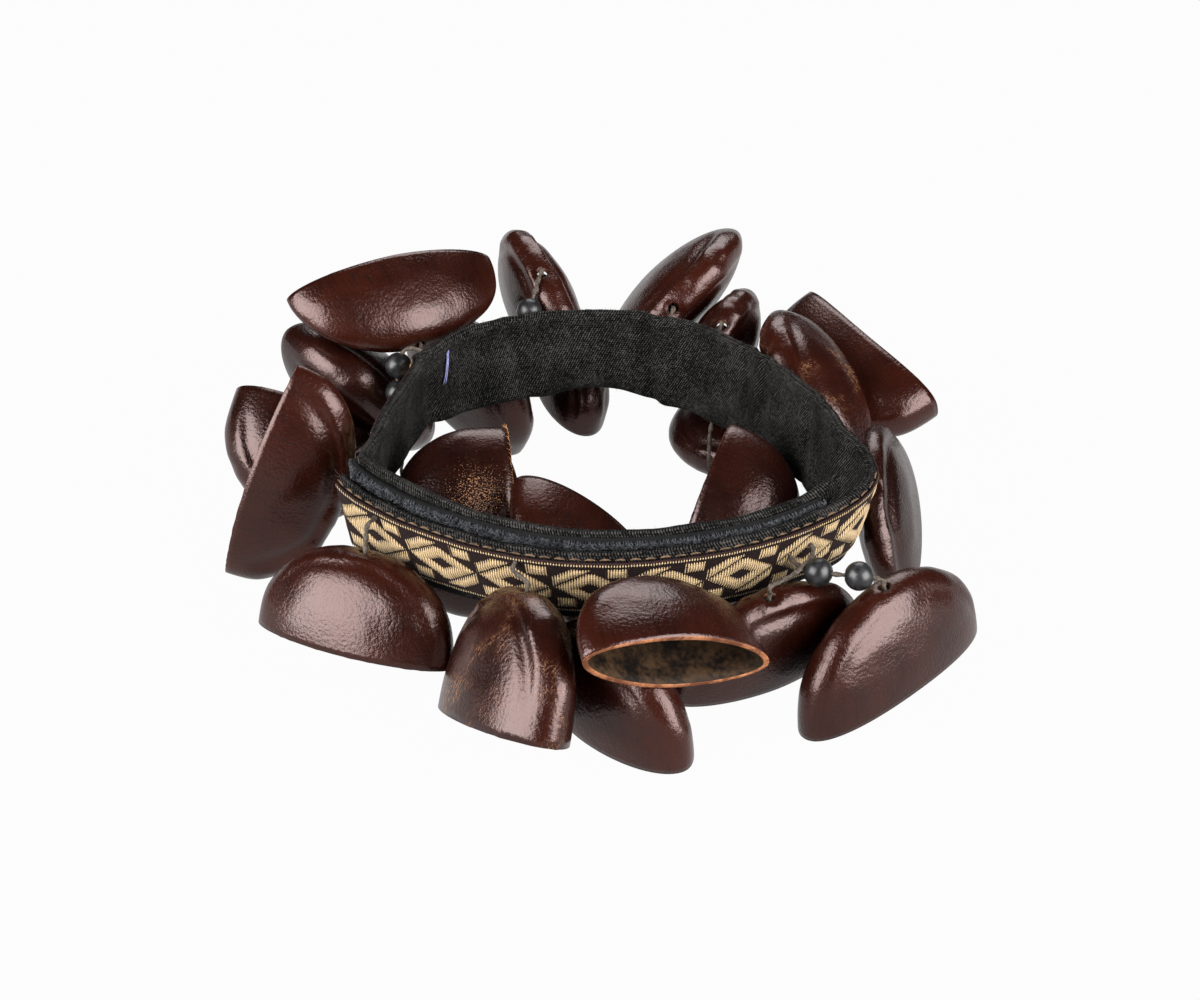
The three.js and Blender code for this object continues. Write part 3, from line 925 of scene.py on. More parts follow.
    def at(self, angle: float, side: float, height: float) -> Vector:
        """Place on the strap.

        Args:
            angle: Degrees along the strap.
            side: Out of the face from the lining's middle.
            height: Up from the lower edge.

        Returns:
            The place.
        """
        across, face, top = self.axes(angle)
        return top + face * (self.shift(angle) + side) + across * (height - self.width - self.drop(angle))

    def angles(self, start: float, end: float, step: float) -> list[float]:
        """Even angles from a start to an end."""
        count = max(1, math.ceil(abs(end - start) / step))
        return [start + (end - start) * i / count for i in range(count + 1)]

    def along(self, angle: float) -> float:
        """Millimetres along the strap."""
        return math.radians(angle) * self.radius

    def woven(self, angle: float) -> float:
        """Millimetres along the ribbon's weave, which is drawn longer toward the flap's free end."""
        turn = angle - self.eye_angle
        return RIBBON.repeat * turn * (1.0 / self.repeat_angle + self.weave_draw * min(turn, 60.0))

    def ripple(self, angle: float, height: float) -> float:
        """How far the cloth buckles out of its face at a place on the strap."""
        free = smooth(angle, self.fold, self.fold + self.loose_start) * (1.0 - smooth(angle, *self.loose_end))
        buckle = 0.0
        for crease in self.creases:
            slant = crease.angle + self.crease_slant * (height - self.width / 2)
            valley = hump(angle, slant, crease.width)
            ridge = hump(angle, slant - self.ridge_offset * crease.width, self.ridge_width * crease.width)
            buckle += crease.depth * (valley - self.ridge_share * ridge)
        along = self.along(angle)
        wave = noise.noise(Vector((along / self.wave_size[0], height / self.wave_size[1], 3.7)))
        nap = noise.noise(Vector((along / self.nap_size, height / self.nap_size, 9.1)))
        return free * (buckle + self.wave_depth * wave) + self.nap_depth * nap

    def edge_rise(self, angle: float, upper: bool) -> float:
        """How far an edge of the cloth wanders up or down."""
        seed = 21.3 if upper else 47.9
        dips = sum(hump(angle, crease.angle, 2.0 * crease.width) * crease.depth for crease in self.creases)
        wander = self.wander_depth * noise.noise(Vector((self.along(angle) / self.wander_size, seed, 0.0)))
        if upper:
            slumped = smooth(angle, *self.slump_start) * (1.0 - smooth(angle, *self.slump_end))
            return wander - 0.35 * dips - self.tail_slump * slumped
        return wander + 0.3 * dips + self.back_arch * hump(angle, self.arch_angle, self.arch_width)

    def section(self) -> list[tuple[float, float]]:
        """Outline of the lining across the strap, as side and height, with its swollen hems."""
        half = self.thickness / 2
        inner = []
        outer = []
        for i in range(self.section_steps + 1):
            height = self.width * i / self.section_steps
            rim = min(height, self.width - height)
            swell = self.hem_swell * (1.0 - smooth(rim, self.hem - 0.5, self.hem))
            dip = self.hem_groove * hump(rim, self.hem, 0.35) + 0.2 * smooth(rim, self.hem, self.hem + 0.8)
            rounding = math.sqrt(max(0.0, 1.0 - max(0.0, 1.0 - rim / self.edge_round) ** 2))
            inner.append((-max(self.edge_half, (half + swell - dip) * rounding), height))
            outer.append((max(self.edge_half, half * rounding), height))
        return inner + outer[::-1]

    def lining(self, start: float, end: float) -> Skin:
        """A stretch of the cotton lining."""
        top_start = self.width - self.edge_reach
        rings = []
        weave = []
        for angle in self.angles(start, end, self.angle_step):
            ring = []
            for side, height in self.section():
                low_edge = self.edge_rise(angle, False) * (1.0 - smooth(height, 0.0, self.edge_reach))
                top_edge = self.edge_rise(angle, True) * smooth(height, top_start, self.width)
                ring.append(self.at(angle, side + self.ripple(angle, height), height + low_edge + top_edge))
                weave.append(Vector((self.along(angle), height, side)))
            rings.append(ring)
        return Skin.strip(rings, weave)

    def ribbon(self, start: float, end: float) -> Skin:
        """A stretch of the woven ribbon, with its gold floats a little raised."""
        rings = []
        weave = []
        half = self.ribbon_thickness / 2
        base = self.width / 2 - self.ribbon_drop
        for angle in self.angles(start, end, self.ribbon_step):
            ring = []
            for i in range(self.ribbon_steps + 1):
                across = self.ribbon_width * (i / self.ribbon_steps - 0.5)
                rim = self.ribbon_width / 2 - abs(across)
                depth = RIBBON.gold_depth(self.woven(angle), across)
                raised = self.float_rise * smooth(depth, -0.1, 1.1)
                side = self.ribbon_shift + half * smooth(rim, -0.4, 0.5) + raised
                ring.append(self.at(angle, side + self.ripple(angle, base + across), base + across))
                weave.append(Vector((self.woven(angle), across, 0.0)))
            for across in (self.ribbon_width / 2, -self.ribbon_width / 2):
                side = self.ribbon_shift - half + self.ripple(angle, base + across)
                ring.append(self.at(angle, side, base + across))
                weave.append(Vector((self.woven(angle), across, 0.0)))
            rings.append(ring)
        return Skin.strip(rings, weave)

    def tape(self, start: float, end: float, width: float, thickness: float, shift: float) -> Skin:
        """A stretch of hook or loop tape, whose shift is from the ring and not from the lining."""
        rings = []
        middle = self.width / 2
        for angle in self.angles(start, end, self.tape_step):
            side = shift - self.shift(angle)
            ring = []
            for face, edge in ((-1, -1), (-1, 0), (-1, 1), (1, 1), (1, 0.5), (1, 0), (1, -0.5), (1, -1)):
                ring.append(self.at(angle, side + face * thickness / 2, middle + edge * width / 2))
            rings.append(ring)
        return Skin.strip(rings)


class Rim(Enum):
    """How a shell's sawn rim looks."""

    FRESH = FRESH_CUT
    DULL = DULL_CUT


@dataclass(frozen=True)
class Shell:
    """One half nut shell: where it points in degrees, its sizes in millimetres, its cord and its wear.

    station, turn, tilt and roll say where its mouth looks. blunt and full shape its plan and its dome, and
    bow lifts its rim's middle. tie is where it hangs from the strap, as angle and share of the width,
    seen_tie is where its cord comes out if that is elsewhere, and passes are places of the cord, with their
    height off the strap.
    """

    name: str
    station: float
    turn: float
    tilt: float
    roll: float
    length: float
    depth: float
    thickness: float
    blunt: float
    full: float
    tie: tuple[float, float]
    seen_tie: tuple[float, float] | None = None
    passes: tuple[tuple[float, float, float], ...] = ()
    bow: float = 0.0
    beads: tuple[float, ...] = ()
    slack: float = 0.3
    flap: bool = False
    keel: float = 0.6
    warmth: float = 0.3
    scratches: float = 0.0
    dust: float = 0.0
    rim: Rim = Rim.DULL

    @property
    def seed(self) -> Vector:
        """Place in the noise that makes this shell differ from the others."""
        return Vector((7.31, 3.17, 5.71)) * int(self.name)

    @property
    def form(self) -> tuple[float, float, float]:
        """Length, thickness and depth of the outside."""
        return self.length, self.thickness, self.depth

    def height(self, x: float, y: float, form: tuple[float, float, float]) -> float:
        """Height of a dome over its mouth.

        Args:
            x: Along the shell.
            y: Across it.
            form: Length, thickness and depth of the dome.

        Returns:
            The height.
        """
        length, thickness, depth = form
        plan = (2 * abs(x) / length) ** self.blunt + (2 * abs(y) / thickness) ** self.blunt
        return depth * max(0.0, 1.0 - plan ** (self.full / self.blunt)) ** (1.0 / self.full)

    def ring(self, slope: float, form: tuple[float, float, float], sides: int) -> Ring:
        """Ring of a dome at a slope from its tip at 0 to its mouth at 90 degrees."""
        length, thickness, depth = form
        out = math.sin(math.radians(slope)) ** (2 / self.full)
        rise = 0.0 if slope == 90 else math.cos(math.radians(slope)) ** (2 / self.full) * depth
        ring = []
        for i in range(sides):
            turn = 2 * math.pi * i / sides
            x = math.copysign(abs(math.cos(turn)) ** (2 / self.blunt), math.cos(turn)) * length / 2 * out
            y = math.copysign(abs(math.sin(turn)) ** (2 / self.blunt), math.sin(turn)) * thickness / 2 * out
            ring.append(Vector((x, y, rise)))
        return ring

    def basis(self) -> Matrix:
        """Turn of the shell: its length, its width and its tip as columns."""
        azimuth = math.radians(self.station + self.turn)
        tilt = math.radians(self.tilt)
        roll = math.radians(self.roll)
        level = math.cos(tilt)
        mouth = Vector((level * math.cos(azimuth), level * math.sin(azimuth), math.sin(tilt)))
        flat = Vector((-math.sin(azimuth), math.cos(azimuth), 0.0))
        along = flat * math.cos(roll) + mouth.cross(flat) * math.sin(roll)
        tip = -mouth
        return Matrix((along, tip.cross(along), tip)).transposed()


SHELLS = (
    Shell("01", 137, -20, 29, 2, 51, 19, 19, 1.75, 2.1, (141, 0.7), keel=0.0, warmth=0.42),
    Shell("02", 145, -24, -8, 48, 44, 23, 21, 1.85, 2.2, (140, 0.9), beads=(0.39, 0.71), slack=0.6,
          warmth=0.05),
    Shell("03", 163.5, -93.5, 35, 35, 39, 23, 21.7, 2, 2.3, (166, 0.2), warmth=0.2),
    Shell("04", 177.4, -4.7, 19.5, -80.5, 52, 19, 15.5, 1.8, 2.2, (180, 0.5), bow=-1.7, keel=1.0,
          warmth=0.45),
    Shell("05", -147, 31, -72, -1, 45, 20, 19, 1.9, 2.3, (-148, 0.86), flap=True, keel=0.35, warmth=0.4),
    Shell("06", -107, -5, -62, 42, 44, 27, 21, 1.9, 2.3, (-111, 0.9), flap=True, keel=1.0, warmth=0.3,
          scratches=0.8),
    Shell("07", -83, 12, -26, -22, 44, 19, 18, 1.75, 2.2, (-84, 0.6), flap=True, keel=0.2, warmth=0.45,
          rim=Rim.FRESH),
    Shell("08", -90, 167, -80, 35, 42, 21, 19, 1.9, 2.2, (-92, 0.3), flap=True, keel=0.3, warmth=0.5),
    Shell("09", -58, 155, -72, -21, 45, 21, 15, 1.8, 2.15, (-58, 0.5), seen_tie=(-44.3, 0.7),
          passes=((-46.0, 0.7, 3.0), (-50.8, 0.69, 5.0), (-53.5, 0.62, 5.0)), flap=True, keel=0.7),
    Shell("10", -41, 90, -81, -83, 50, 24, 18, 2.1, 2, (-49, 0.62), bow=2, beads=(0.3, 0.72), flap=True,
          keel=0.4, warmth=0.35),
    Shell("11", -7, 67, -49, 65, 42, 20, 13, 2, 2.15, (-4, 0.6), keel=0.8, warmth=0.05),
    Shell("12", 47, -14.4, 20, 13.2, 47, 20, 17.4, 2.6, 2.5, (47, 0.1), bow=1.5, slack=0.2, keel=0.4,
          warmth=0.6),
    Shell("13", 35, 15, -33, 39.3, 46, 18, 18.3, 1.8, 2.25, (31, 0.6), keel=0.7, warmth=0.5, scratches=1.0),
    Shell("14", 63, 25, -51, -64, 32, 17, 15, 1.85, 2.15, (64, 0.7), keel=0.9, warmth=0.25),
    Shell("15", 76, 13, -20, -46, 45, 22, 17, 1.85, 2.2, (78, 0.7), keel=1.0, warmth=0.5),
    Shell("16", 104, -13, -57, 66, 41, 18, 16, 1.85, 2.2, (110, 0.8), beads=(0.26,), slack=0.1, keel=1.0,
          warmth=0.4),
    Shell("17", 95, 45, -70.4, 121, 30, 14, 16.3, 2, 2.2, (92, 0.02), keel=0.5, warmth=0.3),
    Shell("18", 118, -4, -46, 67, 41, 21, 20, 1.85, 2.25, (120, 0.5), keel=0.3, warmth=0.2),
    Shell("19", -169, 179, -7, 53, 42, 25, 19, 1.85, 2.4, (-156, 0), keel=0.1, warmth=0.2, dust=1.0,
          rim=Rim.FRESH),
    Shell("20", -103, -175, 8, 47, 44, 24, 18, 1.85, 2.25, (-104, 0), keel=0.1, warmth=0.5),
    Shell("21", -9, 172, 13, -49, 42, 22, 19, 1.85, 2.25, (-8, 0), keel=0.1, warmth=0.35),
    Shell("22", 58, 3, 5, -3, 39, 22, 17, 1.85, 2.2, (56, 0), keel=0.5, warmth=0.1),
    Shell("23", 156, -143, -15, -9, 38, 20, 18, 1.85, 2.25, (156, 0), keel=0.5, warmth=0.2),
)


@dataclass
class ShellMaker:
    """Cuts, drills and polishes the half shells and seats them in their solids."""

    bench: Bench
    wall: float = 1.3
    hole: float = 2.4
    sides: int = 96
    seat_sides: int = 16
    seat_slopes: tuple[int, ...] = (24, 42, 59, 75, 90)
    first_slope: float = 12.0
    outer_rings: int = 34
    inner_slopes: tuple[int, ...] = (90, 84, 76, 66, 54, 42, 30, 18)
    near_shares: tuple[float, ...] = (0.12, 0.3, 0.55)
    rim_shares: tuple[float, ...] = (0.15, 0.5, 0.85)
    saw_dip: float = 0.12
    saw_chatter: float = 0.16
    keel_thickness: float = 18.0
    keel_half: float = 4.2
    keel_rise: float = 0.55
    knob_rise: float = 0.35
    knob_size: tuple[float, float] = (2.6, 4.0)
    bank_wander: float = 0.5
    bank_length: float = 7.0
    groove_depth: float = 0.45
    groove_offset: float = 0.5
    groove_width: float = 0.75
    crest_warmth: float = 0.25
    scuff_size: float = 9.0
    grain_stretch: float = 0.7
    fade_slopes: tuple[float, float] = (66.0, 86.0)
    lumps: tuple[tuple[float, float], ...] = ((12.0, 0.50), (4.0, 0.12))
    dust_place: tuple[float, float, float] = (0.10, -0.47, 0.30)
    dust_reach: float = 0.26
    fibre_radius: float = 0.06

    def bowed(self, shell: Shell, point: Vector) -> Vector:
        """A point of a dome lifted with the bow of its rim."""
        share = 2.0 * point.x / shell.length
        lift = shell.bow * (1.0 - share * share) * (1.0 - point.z / shell.depth)
        return Vector((point.x, point.y, point.z + lift))

    def place(self, shell: Shell) -> Matrix:
        """Where a shell is, so that its plain dome fills its solid's box."""
        turn = shell.basis()
        dome = [
            turn @ self.bowed(shell, point)
            for slope in self.seat_slopes
            for point in shell.ring(slope, shell.form, self.seat_sides)
        ]
        low, high = (self.bench.from_frame(corner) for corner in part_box(f"shell_{shell.name}"))
        shift = Vector()
        for axis in range(3):
            numbers = [point[axis] for point in dome]
            shift[axis] = (low[axis] + high[axis] - min(numbers) - max(numbers)) / 2.0
        return Matrix.Translation(shift) @ turn.to_4x4()

    def drilled(self, shell: Shell, form: tuple[float, float, float]) -> Ring:
        """Edge of the cord hole on a dome."""
        ring = []
        for i in range(self.sides):
            turn = 2 * math.pi * i / self.sides
            x = self.hole / 2 * math.cos(turn)
            y = self.hole / 2 * math.sin(turn)
            ring.append(Vector((x, y, shell.height(x, y, form))))
        return ring

    def relief(self, shell: Shell, point: Vector, slope: float) -> float:
        """How far the outside stands off a smooth dome: its keel, grooves and lumps.

        Args:
            shell: The shell.
            point: A place on its dome.
            slope: The place's slope from the tip.

        Returns:
            Millimetres along the outward direction.
        """
        half = self.keel_half * shell.thickness / self.keel_thickness
        fade = 1.0 - smooth(slope, *self.fade_slopes)
        along, across = point.x / self.knob_size[0], point.y / self.knob_size[1]
        wander = noise.noise(Vector((point.x / self.bank_length, 0.0, 0.0)) + shell.seed)
        bank = abs(point.y) + self.bank_wander * wander
        strip = 1.0 - smooth(bank, half - 0.9, half + 0.2)
        groove = hump(bank, half + self.groove_offset, self.groove_width)
        knobs = self.knob_rise * noise.noise(Vector((along, across, 1.3)) + shell.seed)
        keel = shell.keel * fade * (strip * (self.keel_rise + knobs) - groove * self.groove_depth)
        lumps = sum(rise * noise.noise(point / size + shell.seed) for size, rise in self.lumps)
        near_hole = smooth(math.hypot(point.x, point.y), self.hole / 2, self.hole)
        return keel * near_hole + lumps * fade * near_hole

    def outside(self, shell: Shell) -> tuple[list[Ring], list[float]]:
        """Rings of the outside from the hole to the rim, with each ring's slope."""
        start = self.drilled(shell, shell.form)
        first = shell.ring(self.first_slope, shell.form, self.sides)
        rings = [start]
        slopes = [0.0]
        for share in self.near_shares:
            ring = []
            for near, far in zip(start, first):
                flat = near.lerp(far, share)
                ring.append(Vector((flat.x, flat.y, shell.height(flat.x, flat.y, shell.form))))
            rings.append(ring)
            slopes.append(self.first_slope * share)
        for i in range(self.outer_rings):
            slopes.append(self.first_slope + (90.0 - self.first_slope) * i / (self.outer_rings - 1))
            rings.append(shell.ring(slopes[-1], shell.form, self.sides))
        return rings, slopes

    def carved(self, shell: Shell, rings: list[Ring], slopes: list[float]) -> list[Ring]:
        """The outside's rings with their relief."""
        carved = []
        for j, ring in enumerate(rings):
            below = rings[min(j + 1, len(rings) - 1)]
            above = rings[max(j - 1, 0)]
            new = []
            for i, point in enumerate(ring):
                round_it = ring[(i + 1) % self.sides] - ring[i - 1]
                down = below[i] - above[i]
                outward = down.cross(round_it).normalized()
                if outward.dot(point - Vector((0, 0, shell.depth / 3))) < 0:
                    outward.negate()
                new.append(point + outward * self.relief(shell, point, slopes[j]))
            carved.append(new)
        return carved

    def worn(self, shell: Shell, point: Vector) -> Vector:
        """Warmth, scratches and dust at a place on a shell."""
        crest = self.crest_warmth * hump(point.y, 0.0, self.keel_half)
        patch = Vector([share * size for share, size in zip(self.dust_place, shell.form)])
        dust = shell.dust * hump((point - patch).length, 0.0, self.dust_reach * shell.length)
        scuffed = shell.scratches * smooth(noise.noise(point / self.scuff_size + shell.seed), -0.25, 0.3)
        return Vector((shell.warmth + crest, scuffed, dust))

    def skin(self, shell: Shell, place: Matrix) -> Skin:
        """Whole surface of a shell: its outside, sawn rim, inside and cord hole."""
        inner_form = (shell.length - 2 * self.wall, shell.thickness - 2 * self.wall, shell.depth - self.wall)
        plain, slopes = self.outside(shell)
        rings = self.carved(shell, plain, slopes)
        rim_start = len(rings) - 1
        for share in self.rim_shares:
            inset = 2 * self.wall * share
            edge = shell.ring(90, (shell.length - inset, shell.thickness - inset, shell.depth), self.sides)
            for point in edge:
                chatter = self.saw_chatter * noise.noise(point * 0.9 + shell.seed)
                point.z = -self.saw_dip * math.sin(math.pi * share) + chatter
            rings.append(edge)
        rim_end = len(rings)
        rings.extend(shell.ring(slope, inner_form, self.sides) for slope in self.inner_slopes)
        inside_end = len(rings)
        rings.append(self.drilled(shell, inner_form))
        size = (shell.length + shell.thickness) / 4.0
        grain = []
        wear = []
        for j, ring in enumerate(rings):
            slope = slopes[j] if j < len(slopes) else 90.0
            down = slope / 90.0 * (shell.depth + size) * self.grain_stretch
            for i, point in enumerate(ring):
                turn = 2 * math.pi * i / self.sides
                grain.append(Vector((size * math.cos(turn), size * math.sin(turn), down)) + shell.seed)
                wear.append(self.worn(shell, point))

        def finish(j: int) -> int:
            """Number of the finish after a ring: lacquer, rim or inside."""
            if j < rim_start:
                return 0
            if j < rim_end:
                return 1
            return 2 if j < inside_end else 1

        skin = Skin()
        placed = [[place @ self.bowed(shell, point) for point in ring] for ring in rings]
        skin.loft(placed, wrap=True, finish=finish)
        skin.layer("grain", grain)
        skin.layer("wear", wear)
        return skin

    def make(self, shell: Shell) -> Matrix:
        """Makes a shell and lets it swing with its body.

        Args:
            shell: The shell.

        Returns:
            Its place, for its cord.
        """
        place = self.place(shell)
        node = f"shell_{shell.name}"
        finishes = (LACQUER, shell.rim.value, BARE_INSIDE)
        piece = self.bench.make(f"nut_{node}", self.skin(shell, place), finishes, "shell")
        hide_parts(node)
        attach(piece, node)
        if shell.dust:
            self.make_fibres(shell, place)
        return place

    def make_fibres(self, shell: Shell, place: Matrix) -> None:
        """Makes the torn fibres along a shell's sawn rim."""
        draw = random.Random(int(shell.name))
        skin = Skin()
        for point in shell.ring(90, shell.form, 2 * self.sides):
            way = Vector((point.x, point.y, 0.0)).normalized() + Vector((0, 0, draw.uniform(-0.5, 1.5)))
            root = place @ point
            add_hair(skin, draw, root, place.to_3x3() @ way, draw.uniform(0.3, 1.1), self.fibre_radius)
        piece = self.bench.make(f"rim_fibres_{shell.name}", skin, (FIBRE,), "shell")
        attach(piece, f"shell_{shell.name}")


@dataclass
class CordMaker:
    """Ties each shell to the band with a twisted cord, its knot and its beads."""

    bench: Bench
    band: AnkleBand
    diameter: float = 0.9
    stitch: float = 1.1
    sewn_depth: float = 2.5
    bend: float = 2.0
    wall: float = 1.3
    knot: float = 3.4
    knot_clearance: float = 0.4
    core_share: float = 0.45
    tail_curls: tuple[float, ...] = (-0.088, 0.11)
    bead: float = 6.0
    bead_bore: float = 2.0
    bead_rings: int = 28
    bead_sides: int = 40
    bead_lip: float = 0.25
    strands: int = 2
    twist: float = 2.6
    step: float = 0.25

    def tied_at(self, shell: Shell) -> tuple[float, float]:
        """Angle along the strap and share of its width where a cord is tied."""
        angle, share = shell.seen_tie or shell.tie
        on_tail = not shell.flap and angle < self.band.fold
        return (angle + 360.0 if on_tail else angle), share

    def tie(self, shell: Shell) -> tuple[Vector, Vector]:
        """Where a cord leaves the band, and which way."""
        angle, share = self.tied_at(shell)
        across, face, _ = self.band.axes(angle)
        gap = self.band.layer_gap
        if share == 0:
            return self.band.at(angle, 0.0, -gap), -across
        out = self.band.ribbon_shift + self.band.ribbon_thickness / 2 + gap
        return self.band.at(angle, out, share * self.band.width), face

    def sewn_end(self, shell: Shell) -> Vector:
        """Where a cord ends inside the strap's cloth."""
        angle, share = self.tied_at(shell)
        height = max(self.sewn_depth, min(self.band.width - self.sewn_depth, share * self.band.width))
        return self.band.at(angle, 0.0, height)

    def run(self, shell: Shell, place: Matrix) -> tuple[list[Vector], Vector, Vector]:
        """Path of a cord from its stitch to the shell, the hole's place and the way into it."""
        start, leave = self.tie(shell)
        tip = (place.to_3x3() @ UP).normalized()
        hole = place @ Vector((0, 0, shell.depth))
        stitch = start + leave * self.stitch
        enter = hole + tip * self.stitch
        pull = (enter - stitch).length * shell.slack
        near, far = max(pull, self.bend), max(pull / 2, self.bend)
        if shell.passes:
            return self.threaded(shell, (stitch, enter + tip * far, enter)), hole, -tip
        corners = (stitch, stitch + leave * near, enter + tip * far, enter)
        path = []
        steps = 60
        for i in range(steps + 1):
            t = i / steps
            weights = ((1 - t) ** 3, 3 * t * (1 - t) ** 2, 3 * t * t * (1 - t), t ** 3)
            path.append(sum((corner * weight for corner, weight in zip(corners, weights)), Vector()))
        return path, hole, -tip

    def threaded(self, shell: Shell, ends: tuple[Vector, Vector, Vector]) -> list[Vector]:
        """Smooth path of a cord through the places that it passes.

        Args:
            shell: The cord's shell.
            ends: The cord's first place and its last two.

        Returns:
            The path.
        """
        band = self.band
        face = band.ribbon_shift + band.ribbon_thickness / 2
        middle = [band.at(angle, face + off, share * band.width) for angle, share, off in shell.passes]
        knots = [ends[0], ends[0], *middle, ends[1], ends[2], ends[2]]
        path = []
        steps = 16
        for one, two, three, four in zip(knots, knots[1:], knots[2:], knots[3:]):
            for i in range(steps):
                t = i / steps
                pull_in = (three - one) * (0.5 * t * (1 - t) * (1 - t))
                pull_out = (two - four) * (0.5 * t * t * (1 - t))
                share = t * t * (3 - 2 * t)
                path.append(two.lerp(three, share) + pull_in + pull_out)
        return [*path, ends[2]]

    def knot_path(self, middle: Vector, inward: Vector) -> list[Vector]:
        """Path of an overhand knot pulled tight."""
        side = inward.orthogonal().normalized()
        other = inward.cross(side)
        size = (self.knot - self.diameter) / 6.0
        path = []
        turns = 48
        for i in range(turns + 1):
            turn = 2 * math.pi * i / turns
            x = math.sin(turn) + 2 * math.sin(2 * turn)
            y = math.cos(turn) - 2 * math.cos(2 * turn)
            path.append(middle + (side * x + other * y - inward * 1.4 * math.sin(3 * turn)) * size)
        return path

    def make(self, shell: Shell, place: Matrix) -> None:
        """Makes a shell's cord and beads.

        Args:
            shell: The shell.
            place: Where it is.
        """
        path, hole, inward = self.run(shell, place)
        middle = hole + inward * (self.wall + self.knot_clearance + self.knot / 2)
        strand = resampled([self.sewn_end(shell), *path, hole, middle], self.step)
        tight = resampled(self.knot_path(middle, inward), self.step)
        radius = self.diameter / 2
        reach = self.core_share * self.knot
        core = [middle + inward * (reach * (i / 5 - 1)) for i in range(11)]
        skin = Skin()
        skin.thread(strand, lambda share: radius, 12, self.strands, self.twist)
        skin.thread(tight, lambda share: radius * 0.9, 10, self.strands, self.twist)
        skin.thread(core, lambda share: reach * math.sqrt(max(0.02, 4 * share * (1 - share))), 12)
        for curl in self.tail_curls:
            aside = inward.orthogonal() * curl
            loose = [middle + inward * (0.5 * i) + aside * (i * i) for i in range(5)]
            skin.thread(loose, lambda share: radius * (0.8 - 0.5 * share), 8, self.strands, self.twist)
        body = f"shell_{shell.name}"
        piece = self.bench.make(f"tie_cord_{shell.name}", skin, (CORD,), "cord")
        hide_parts(f"cord_{shell.name}")
        if shell.seen_tie:
            start, _ = self.tie(shell)
            ends = [self.bench.centre + place * MM for place in (start, hole)]
            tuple(ends[0])
            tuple(ends[1])
            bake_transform(piece)
        else:
            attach(piece, body)
        for i, share in enumerate(shell.beads):
            self.make_bead(f"bead_{shell.name}_{i + 1}", path, share)

    def make_bead(self, node: str, path: list[Vector], share: float) -> None:
        """Makes one bead.

        Args:
            node: Its solid and its body.
            path: The cord's run.
            share: Its place along the run.
        """
        even = resampled(path, 0.1)
        k = min(len(even) - 2, max(1, round(share * (len(even) - 1))))
        ahead = (even[k + 1] - even[k - 1]).normalized()
        side = ahead.orthogonal().normalized()
        other = ahead.cross(side)
        radius = self.bead / 2
        bore = self.bead_bore / 2
        reach = math.acos(bore / radius)
        outline = []
        for i in range(self.bead_rings + 1):
            rise = reach * (1.0 - 2.0 * i / self.bead_rings)
            outline.append((radius * math.cos(rise), radius * math.sin(rise)))
        outline.append((bore * 0.8, outline[-1][1] + self.bead_lip))
        outline.append((bore * 0.8, -outline[-1][1]))
        turns = [2 * math.pi * i / self.bead_sides for i in range(self.bead_sides)]
        rings = []
        for out, rise in outline:
            rings.append([
                even[k] + ahead * rise + (side * math.cos(turn) + other * math.sin(turn)) * out
                for turn in turns
            ])
        skin = Skin()
        skin.loft(rings, wrap=True)
        piece = self.bench.make(f"satin_{node}", skin, (BEAD,), "bead")
        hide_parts(node)
        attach(piece, node)


